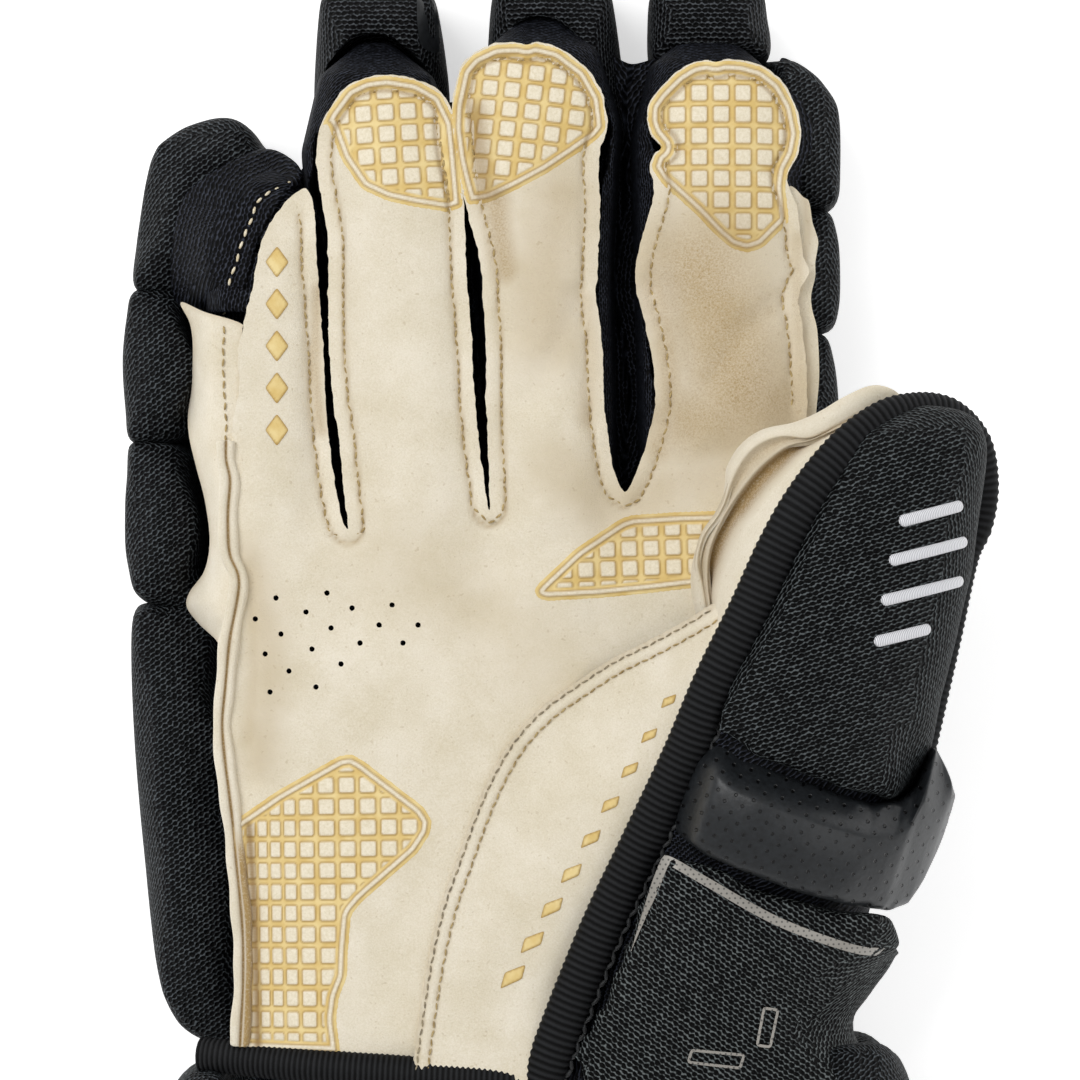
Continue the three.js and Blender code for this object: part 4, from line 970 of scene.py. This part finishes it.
TAPES = [("thumb", THUMB_TAPE, 9.6, 6.2, 1.6), ("heel", HEEL_TAPE, 8.0, 6.2, 1.2),
         ("cuff", RIM_TAPE, 6.6, 6.6, 1.6)]
for part, line, wide, tall, pitch in TAPES:
    step = pitch / 6
    tape = ribbed(part + "_tape", flow(line, step), step, TAPE_SIDES, wide, tall, pitch, 0.06)
    finish(tape, ribbed_tape, "tape", part + "_binding")
braid = flow(THUMB_TAPE[:12], 1.0)
ahead = np.gradient(braid, axis=0)
beside = np.column_stack([ahead[:, 1], -ahead[:, 0], np.zeros(len(ahead))])
braid += 4.9 * beside / np.linalg.norm(beside, axis=1)[:, None] + (0, 0, 0.5)
black_thread = thread_material("bonded black thread", "2B2D2F", "0B0B0C")
stitches("tape_stitches", braid[::2], black_thread, 2.7, -0.5, 0.55, 26)

# The padding is soft foam inside a black polyester mesh. The foam swells it out until the cloth holds,
# and the seams keep the ends in, so neighbouring pads meet in deep creases.
FLOOR_TOUCH = 0.05
PAD_LEVEL = 25  # where a pad is widest
DRAWN, SWELL = 0.9, 2.4  # how far a pad is drawn in first, and may then swell


def swollen(piece):
    # Drawn in a little, then blown out by cloth pressure, no point further than SWELL.
    apply(piece, "DISPLACE", strength=-DRAWN * MM, mid_level=0)
    rest = points_of(piece)
    only(piece)
    cloth = piece.modifiers.new("Cloth", "CLOTH")
    cloth.settings.use_pressure = True
    cloth.settings.uniform_pressure_force = 4
    cloth.settings.effector_weights.gravity = 0
    for number in range(1, 21):
        bpy.context.scene.frame_set(number)
    bpy.ops.object.modifier_apply(modifier=cloth.name)
    bpy.context.scene.frame_set(1)
    moved = points_of(piece) - rest
    far = np.linalg.norm(moved, axis=1)
    moved *= (SWELL * np.tanh(far / SWELL) / np.maximum(far, 1e-6))[:, None]
    move_points(piece, rest + moved)


spacer_mesh = net_fabric(
    "black polyester spacer mesh", by_cloth, 1.3, (0.9, 1.1), -38, "52585C", "111214", 0.4)
tip_mesh = net_fabric("coarse spacer mesh", by_cloth, 1.25, (0.9, 1.0), 0, "4C5054", "131416", 0.4)
thumb_mesh = net_fabric("warp-knitted pad mesh", by_cloth, 1.3, (0.85, 1.15), -20, "5A6062", "131415", 0.4)
base_mesh = net_fabric("fine pad mesh", by_cloth, 1.3, (0.9, 1.1), 38, "6A7070", "17191A", 0.35)
OUTLINES = {
    "pinky_pad_tip": [(131, 293), (134, 253), (138, 220), (143, 184), (149, 156), (168, 134), (194, 121),
        (219, 114), (237, 115), (255, 127), (268, 148), (300, 175), (318, 230), (314, 285), (240, 303),
        (180, 304)],
    "pinky_pad_mid": [(130, 286), (124, 310), (119, 353), (120, 386), (123, 415), (128, 447), (190, 454),
        (260, 452), (318, 430), (318, 310), (250, 286), (180, 282)],
    "pinky_pad_base": [(128, 438), (124, 470), (122, 500), (122, 548), (125, 566), (131, 594), (150, 610),
        (190, 615), (260, 612), (318, 590), (318, 460), (250, 438), (180, 434)],
    "side_pad": [(132, 606), (129, 636), (131, 667), (135, 733), (140, 810), (148, 868), (152, 926),
        (155, 965), (163, 1003), (177, 1027), (193, 1042), (216, 1048), (246, 1050), (266, 1000),
        (266, 900), (262, 800), (260, 700), (252, 630), (215, 604), (165, 596)],
    "index_pad_tip": [(648, 80), (700, 58), (783, 55), (792, 54), (803, 62), (814, 70), (832, 90),
        (841, 106), (844, 132), (844, 176), (844, 200), (838, 211), (823, 217), (700, 218), (650, 214)],
    "index_pad_mid": [(650, 210), (700, 206), (815, 204), (832, 207), (838, 222), (843, 246), (844, 273),
        (844, 304), (839, 328), (827, 337), (700, 340), (650, 336)],
    "index_pad_base": [(650, 332), (700, 329), (815, 327), (832, 338), (838, 362), (841, 383), (843, 430),
        (840, 480), (815, 500), (700, 502), (650, 498)],
    "ring_pad_tip": [(316, 60), (316, 20), (318, -5), (335, -22), (380, -28), (420, -22), (438, -5),
        (440, 20), (443, 60), (447, 120), (440, 185), (380, 192), (325, 186), (316, 120)],
    "middle_pad_tip": [(486, 60), (487, 20), (489, -10), (500, -30), (550, -38), (600, -32), (614, -12),
        (618, 20), (622, 60), (626, 100), (626, 160), (560, 170), (490, 165), (484, 110)],
    "index_pad_end": [(645, 62), (645, 20), (646, -5), (655, -18), (700, -24), (750, -20), (767, -6),
        (770, 20), (774, 60), (740, 78), (700, 82), (660, 78)],
    "thumb_tip_pad": [(700, 722), (722, 737), (745, 757), (784, 774), (842, 795), (872, 806), (900, 808),
        (918, 797), (930, 770), (940, 745), (947, 700), (957, 660), (965, 620), (975, 580), (981, 530),
        (990, 470), (990, 430), (970, 408), (935, 400), (890, 406), (850, 424), (822, 455), (795, 500),
        (768, 560), (742, 620), (715, 680)],
    "thumb_base_pad": [(655, 850), (700, 850), (760, 875), (830, 897), (890, 905), (906, 920), (907, 938),
        (902, 952), (890, 980), (875, 1010), (866, 1030), (868, 1060), (872, 1090), (866, 1120),
        (800, 1135), (700, 1138), (600, 1135), (560, 1110), (572, 1060), (590, 1010), (615, 950),
        (640, 890)],
    "cuff_pad": [(200, 1056), (330, 1048), (560, 1046), (800, 1030), (868, 1026), (893, 1042), (912, 1072),
        (925, 1150), (935, 1250), (937, 1400), (930, 1540), (700, 1544), (400, 1544), (140, 1540),
        (131, 1400), (135, 1250), (150, 1130), (172, 1080)],
}
OUTLINE_LEVELS = {"thumb_tip_pad": 68, "thumb_base_pad": 65, "cuff_pad": 38}


def outlined(piece, pixels, level):
    # Drawn out level, ray by ray from its middle, to an outline in pixels.
    goal = flow(spot(pixels, level), 0.6, True)
    middle = (goal.min(0) + goal.max(0)) / 2
    points = points_of(piece)
    off = points[:, :2] - (points[:, :2].min(0) + points[:, :2].max(0)) / 2
    turns = np.arange(120) * 2 * math.pi / 120
    tips = [int(np.argmax(off @ (math.cos(turn), math.sin(turn)))) for turn in turns]
    hull = corner_flow(off[[tip for k, tip in enumerate(tips) if tip != tips[k - 1]]], 0.5)
    ray = np.arctan2(off[:, 1], off[:, 0])
    reach = [np.interp(ray, np.arctan2(line[:, 1], line[:, 0]), np.linalg.norm(line, axis=1),
                       period=2 * math.pi) for line in (goal - middle, hull)]
    points[:, :2] = middle + off * (reach[0] / reach[1])[:, None]
    move_points(piece, points)


PADS = [
    *[{"node": "pinky_pad_" + part, "spread": 5} for part in ("base", "mid")],
    {"node": "pinky_pad_tip"},
    *[{"node": "ring_pad_" + part} for part in ("base", "mid")],
    *[{"node": "middle_pad_" + part} for part in ("base", "mid")],
    *[{"node": "index_pad_" + part} for part in ("base", "mid", "tip")],
    *[{"node": node, "cloth": tip_mesh} for node in ("ring_pad_tip", "middle_pad_tip", "index_pad_end")],
    *[{"node": "back_roll_" + part, "voxel": 4} for part in ("lower", "middle", "upper", "knuckle")],
    {"node": "side_pad", "pinch": (222, 800)},
    {"node": "thumb_tip_pad", "with": " thumb_sleeve", "cloth": thumb_mesh, "smooth": 12},
    {"node": "thumb_base_pad", "cloth": base_mesh},
    {"node": "cuff_pad", "voxel": 4.5},
]
pads = {}
for row in PADS:
    pad = soft_copy(row["node"] + "_mesh", row["node"] + row.get("with", ""), row.get("voxel", 2.8), 3)
    if row["node"] in OUTLINES:
        outlined(pad, OUTLINES[row["node"]], OUTLINE_LEVELS.get(row["node"], PAD_LEVEL))
    if "spread" in row:
        # The inner shoulder of the pad is pushed in under the leather strip.
        shape = points_of(pad)
        shoulder = step_between(-72, -63, shape[:, 0]) * (1 - step_between(-54, -38, shape[:, 0]))
        shape[:, 0] += row["spread"] * shoulder * step_between(12, 32, shape[:, 2])
        move_points(pad, shape)
    swollen(pad)
    apply(pad, "SMOOTH", factor=0.5, iterations=row.get("smooth", 3))
    apply(pad, "SUBSURF", levels=1, render_levels=1)
    settled = points_of(pad)
    if "pinch" in row:
        # Caught in the seam at one place, with creases that run out from it.
        off = settled[:, :2] - spot([row["pinch"]], 44)[0]
        far = np.linalg.norm(off, axis=1)
        creases = 0.35 * np.cos(7 * np.arctan2(off[:, 1], off[:, 0])) * step_between(0, 5, far)
        settled[:, 2] -= (3.6 + 2.2 * creases) * np.exp(-((far / 7.5) ** 2)) * (settled[:, 2] > 20)
    settled[:, 2] = np.maximum(settled[:, 2], FLOOR_TOUCH)
    move_points(pad, settled)
    edited(pad, bpy.ops.uv.cube_project, cube_size=MM, correct_aspect=False)
    pad.data.uv_layers.active.name = "cloth"
    finish(pad, row.get("cloth", spacer_mesh), "mesh", row["node"])
    pads[row["node"]] = pad

# The little finger's knitted cap laps over the leather and the pad, its cut edge held by a running
# stitch in cream.
CAP = [(177, 304), (171, 281), (172, 243), (177, 212), (190, 189), (225, 164), (254, 151), (270, 149),
    (284, 154), (298, 165), (303, 178), (298, 184), (282, 203), (269, 222), (257, 243), (252, 266),
    (247, 297), (243, 328), (225, 330), (219, 324), (202, 317)]
CAP_SEAM = [(224, 323), (225, 310), (227, 293), (232, 276), (237, 262), (241, 247), (246, 233), (251, 222),
    (256, 207), (263, 197), (274, 191), (288, 184)]
cap_base = relief([nodes["pinky_sleeve"], nodes["palm_leather"], pads["pinky_pad_tip"]], 9)
cap_edge = plan(cap_base, CAP, EDGE_STEP, True)
cap, flat = cut_sheet("pinky_cap", cap_edge, 0.7)
away, index = nearest(cap_edge)(flat)
seam_away = nearest(plan(cap_base, CAP_SEAM, 0.4))(flat)[0]
height = cap_base(flat) + 1.6 * step_between(0, 0.8, away) - 0.5 * np.exp(-((seam_away / 0.8) ** 2))
lay(cap, flat, height, LEATHER, fine_knit, "knit", rows=seam_away, along=index * EDGE_STEP)
cream_thread = thread_material("cream cotton thread", "F0E6CE", "CDBB93")
stitches("cap_stitches", on(cap_base, CAP_SEAM, 1.5), cream_thread, 2.0, 0.9, 0.36, 6)

# A flap of the same knit laps over the index finger's side, down to the strip. It is caught under the
# leather's edge.
FLAP = [(780, 60), (793, 62), (806, 74), (812, 92), (813, 125), (811, 160), (808, 182), (805, 197),
    (794, 198), (786, 186), (786, 150), (790, 120), (786, 90)]
flap_base = relief([nodes["index_sleeve"], nodes["palm_leather"], pads["index_pad_tip"]], 6)
flap, flat = cut_sheet("index_flap", plan(flap_base, FLAP, EDGE_STEP, True), 0.7)
away, index = to_edge(flat)
height = np.minimum(flap_base(flat) + 0.7, palm_base(flat) - 1.3)
lay(flap, flat, height, LEATHER, fine_knit, "knit", rows=away, along=index * EDGE_STEP)

# A moulded band of coated fabric goes round the thumb between its two pads. It is smooth and a little
# glossy, and punched with rows of pits 2.8 mm apart.
coated, tree, shader, place = new_material(
    "perforated coated fabric", {"Roughness": 0.4, "Specular IOR Level": 0.45})
around = add(tree, "Attribute", attribute_name="around").outputs["Fac"]
up_thumb = add(tree, "Attribute", attribute_name="up").outputs["Fac"]
wrapped = add(tree, "CombineXYZ", {0: around, 1: up_thumb})
turned = add(tree, "Mapping", {0: wrapped, 2: (0, 0, math.radians(45)), 3: (0.36, 0.36, 0.36)})
cells = add(tree, "TexVoronoi", {"Vector": turned, "Scale": 1, "Randomness": 0}, voronoi_dimensions="2D")
pit = add(tree, "ValToRGB", {0: cells.outputs["Distance"]}, [(0.1, 0.0), (0.16, 1.0)])
grain = add(tree, "TexNoise", {"Vector": place, "Scale": 900, "Detail": 2})
skin = add(tree, "ValToRGB", {0: grain}, [(0.3, "17191B"), (0.7, "212427")])
pitted = add(tree, "Mix", {0: pit, 6: hexes("020203"), 7: skin}, data_type="RGBA")
clad(tree, shader, pitted.outputs[2], add(tree, "Mix", {0: 0.12, 2: pit, 3: grain}), 0.5, 0.9)

band = soft_copy("thumb_band_cover", "thumb_band", 1.6, 6)
THUMB_LEAN = math.radians(16)
THUMB_WAY = np.array([math.sin(THUMB_LEAN), math.cos(THUMB_LEAN), 0])
THUMB_SIDE = np.array([math.cos(THUMB_LEAN), -math.sin(THUMB_LEAN), 0])
apply(band, "SUBSURF", levels=1, render_levels=1)
BAND_TOP = [(690, 722), (717, 732), (742, 757), (784, 774), (842, 795), (876, 806), (905, 803), (922, 790),
    (932, 768), (941, 750), (952, 770), (966, 800)]
BAND_LOW = [(660, 824), (669, 829), (705, 855), (748, 873), (802, 894), (856, 909), (892, 916), (914, 912),
    (930, 892), (946, 862), (957, 838)]
shape = points_of(band)
across, up = shape @ THUMB_SIDE, shape @ THUMB_WAY
edges = []
for line in (BAND_TOP, BAND_LOW):
    line = np.column_stack([spot(line, 80), np.zeros(len(line))])
    edges.append((line @ THUMB_SIDE, line @ THUMB_WAY))
left, right = edges[1][0][0], edges[0][0][-1]
new_across = left + (across - across.min()) * (right - left) / np.ptp(across)
share = (up - up.min()) / np.ptp(up)
top, low = (np.interp(new_across, *edge_of_band) for edge_of_band in edges)
new_up = low + share * (top - low)
shape[:, :2] += (new_across - across)[:, None] * THUMB_SIDE[:2] + (new_up - up)[:, None] * THUMB_WAY[:2]
front = step_between(62, 76, shape[:, 2])
crown = 1.6 * np.sin(math.pi * np.clip(share / 0.75, 0, 1))
shape[:, 2] += front * (crown - 8 * step_between(0.66, 1.0, share))
shape[:, 2] -= 9 * front * (1 - step_between(left, left + 9, new_across))
move_points(band, shape)
attribute(band, "up", new_up)
attribute(band, "around", np.where(shape[:, 2] > 60, new_across, new_across + shape[:, 2] - 60))
finish(band, coated, "coated", "thumb_band")

# A smooth panel of the same coated fabric closes the side of the ring finger's tip. It is sewn over
# the mesh and has no pits.
PANEL = [(417, -12), (430, -8), (437, 10), (440, 30), (440, 54), (430, 52), (420, 47), (417, 20)]
panel_base = relief([pads["ring_pad_tip"]], 2, 1.0)
panel_edge = eased(corner_flow(on(panel_base, PANEL)[:, :2], 0.4), 4)
panel, flat = cut_sheet("tip_panel", panel_edge, 0.7)
bare = np.full(len(flat), 1.4)
lay(panel, flat, panel_base(flat) + 0.5, 0.8, coated, "coated", up=bare, around=bare)

# Embroidery on the thumb's tip: four plain bars in white satin stitch, whose strands run across each
# bar; each strand is painted bright on its crest and grey between, a painted sheen and shade.
SATIN_BARS = [[(899, 522), (962, 505)], [(889, 561), (966, 541)], [(881, 601), (962, 580)],
              [(874, 642), (930, 628)]]
BAR_WIDE, BAR_TALL = 2.7, 0.9  # across, and above its middle
tip_face = relief([pads["thumb_tip_pad"]], 2, 1.0, 4)
BAR_STEP, STRAND, BAR_SIDES = 0.11, 0.45, 12
satin, tree, shader, _ = new_material("white rayon satin stitch", {"Roughness": 0.38, "Sheen Weight": 0.2})
strand_sheen = add(tree, "Attribute", attribute_name="crest").outputs["Fac"]
plug(tree, shader, {"Base Color": add(tree, "ValToRGB", {0: strand_sheen}, [(0.1, "A9AAB0"), (0.8, "F2F2F5")])})
for number, ends in enumerate(SATIN_BARS):
    path = flow(on(tip_face, ends), BAR_STEP)
    path[:, 2] = tip_face(path) + 0.1
    lengths = np.arange(len(path)) * BAR_STEP
    to_end = np.minimum(lengths, lengths[-1] - lengths)
    rounded = np.sqrt(np.clip(1 - (1 - np.clip(to_end / (BAR_WIDE / 2), 0, 1)) ** 2, 0.05, 1))
    bar = ribbed(f"satin_bar_{number + 1}", path, BAR_STEP, BAR_SIDES, BAR_WIDE, 2 * BAR_TALL, STRAND,
                 0.04, rounded)
    finish(bar, satin, "embroidery")

# Silver-grey ink, screen printed on the base pad: a plain frame line that tapers to a point, and two
# slim outlines. The mesh shows through it as darker dots.
FRAME_LINE = [(631, 951), (650, 900), (664, 864), (670, 861), (707, 882), (777, 921), (851, 948),
    (884, 952)]
FRAME_WIDE = 1.9
SLIM_OUTLINES = [[(692, 1050), (744, 1055), (740, 1068), (688, 1062)],
                 [(764, 1008), (778, 1010), (770, 1047), (757, 1045)]]
base_face = relief([pads["thumb_base_pad"]], 2, 1.0, 4)
silver_ink, tree, shader, place = new_material(
    "silver-grey screen ink", {"Roughness": 0.45, "Metallic": 0.25})
in_mm = add(tree, "VectorMath", {0: place, 1: (1000, 1000, 1000)}, operation="MULTIPLY")
gaps = lattice(tree, in_mm, 1.2)
plug(tree, shader, {"Base Color": add(tree, "ValToRGB", {0: gaps}, [(0.6, "9A968F"), (0.85, "5B5956")])})


def ribbon(name, line, halves):
    # A thin flat strip laid on the pad along a line.
    ahead = np.gradient(line[:, :2], axis=0)
    side = np.column_stack([ahead[:, 1], -ahead[:, 0]]) / np.linalg.norm(ahead, axis=1)[:, None]
    across = np.linspace(-1, 1, 5)
    flat = line[:, None, :2] + side[:, None] * across[None, :, None] * np.asarray(halves)[:, None, None]
    flat = flat.reshape(-1, 2)
    starts = [5 * r + k for r in range(len(line) - 1) for k in range(4)]
    faces = [(at, at + 1, at + 6, at + 5) for at in starts]
    strip = solid(name, np.column_stack([flat, base_face(flat) + 0.3]), faces)
    finish(strip, silver_ink, "print", thickness=0.3)


path = flow(on(base_face, FRAME_LINE), 0.6)
ribbon("frame_line", path, FRAME_WIDE / 2 * np.clip(np.arange(len(path)) * 0.6 / 16, 0.08, 1))
for number, corners in enumerate(SLIM_OUTLINES):
    path = eased(corner_flow(on(base_face, corners), 0.5), 1)
    path = np.vstack([path, path[:2]])
    ribbon(f"slim_outline_{number + 1}", path, np.full(len(path), 0.3))

# The floor, a wide pale sheet that glows a little, with soft light from above and a little to the
# left.
FLOOR = 3000
corners = [(-FLOOR, -FLOOR, 0), (FLOOR, -FLOOR, 0), (FLOOR, FLOOR, 0), (-FLOOR, FLOOR, 0)]
floor = solid("floor", corners, [(0, 1, 2, 3)])
paper, tree, shader, place = new_material(
    "pale paper", {"Roughness": 0.9, "Emission Color": hexes("FFFFFF"), "Emission Strength": 0.55})
grain = add(tree, "TexNoise", {"Vector": place, "Scale": 30})
plug(tree, shader, {"Base Color": add(tree, "ValToRGB", {0: grain}, [(0.3, "FAFAFA"), (0.7, "FDFDFD")])})
floor.data.materials.append(paper)
floor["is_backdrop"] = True

LAMPS = [
    {"name": "key", "place": (-0.9, 0.7, 1.7), "size": 1.2, "power": 22},
    {"name": "fill", "place": (1.3, -0.4, 1.4), "size": 1.6, "power": 8},
]
for lamp in LAMPS:
    light = linked(lamp["name"], bpy.data.lights.new(lamp["name"], "AREA"))
    light.data.size = lamp["size"]
    light.data.energy = lamp["power"]
    light.location = lamp["place"]
    away_from = light.location - Vector((*AIM * MM, 0.03))
    light.rotation_euler = away_from.to_track_quat("Z", "Y").to_euler()
world = bpy.data.worlds.new("studio")
world.use_nodes = True
world.node_tree.nodes["Background"].inputs[0].default_value = hexes("FFFFFF")
world.node_tree.nodes["Background"].inputs[1].default_value = 0.48
bpy.context.scene.world = world
bpy.context.scene.view_settings.view_transform = "Standard"

low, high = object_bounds()
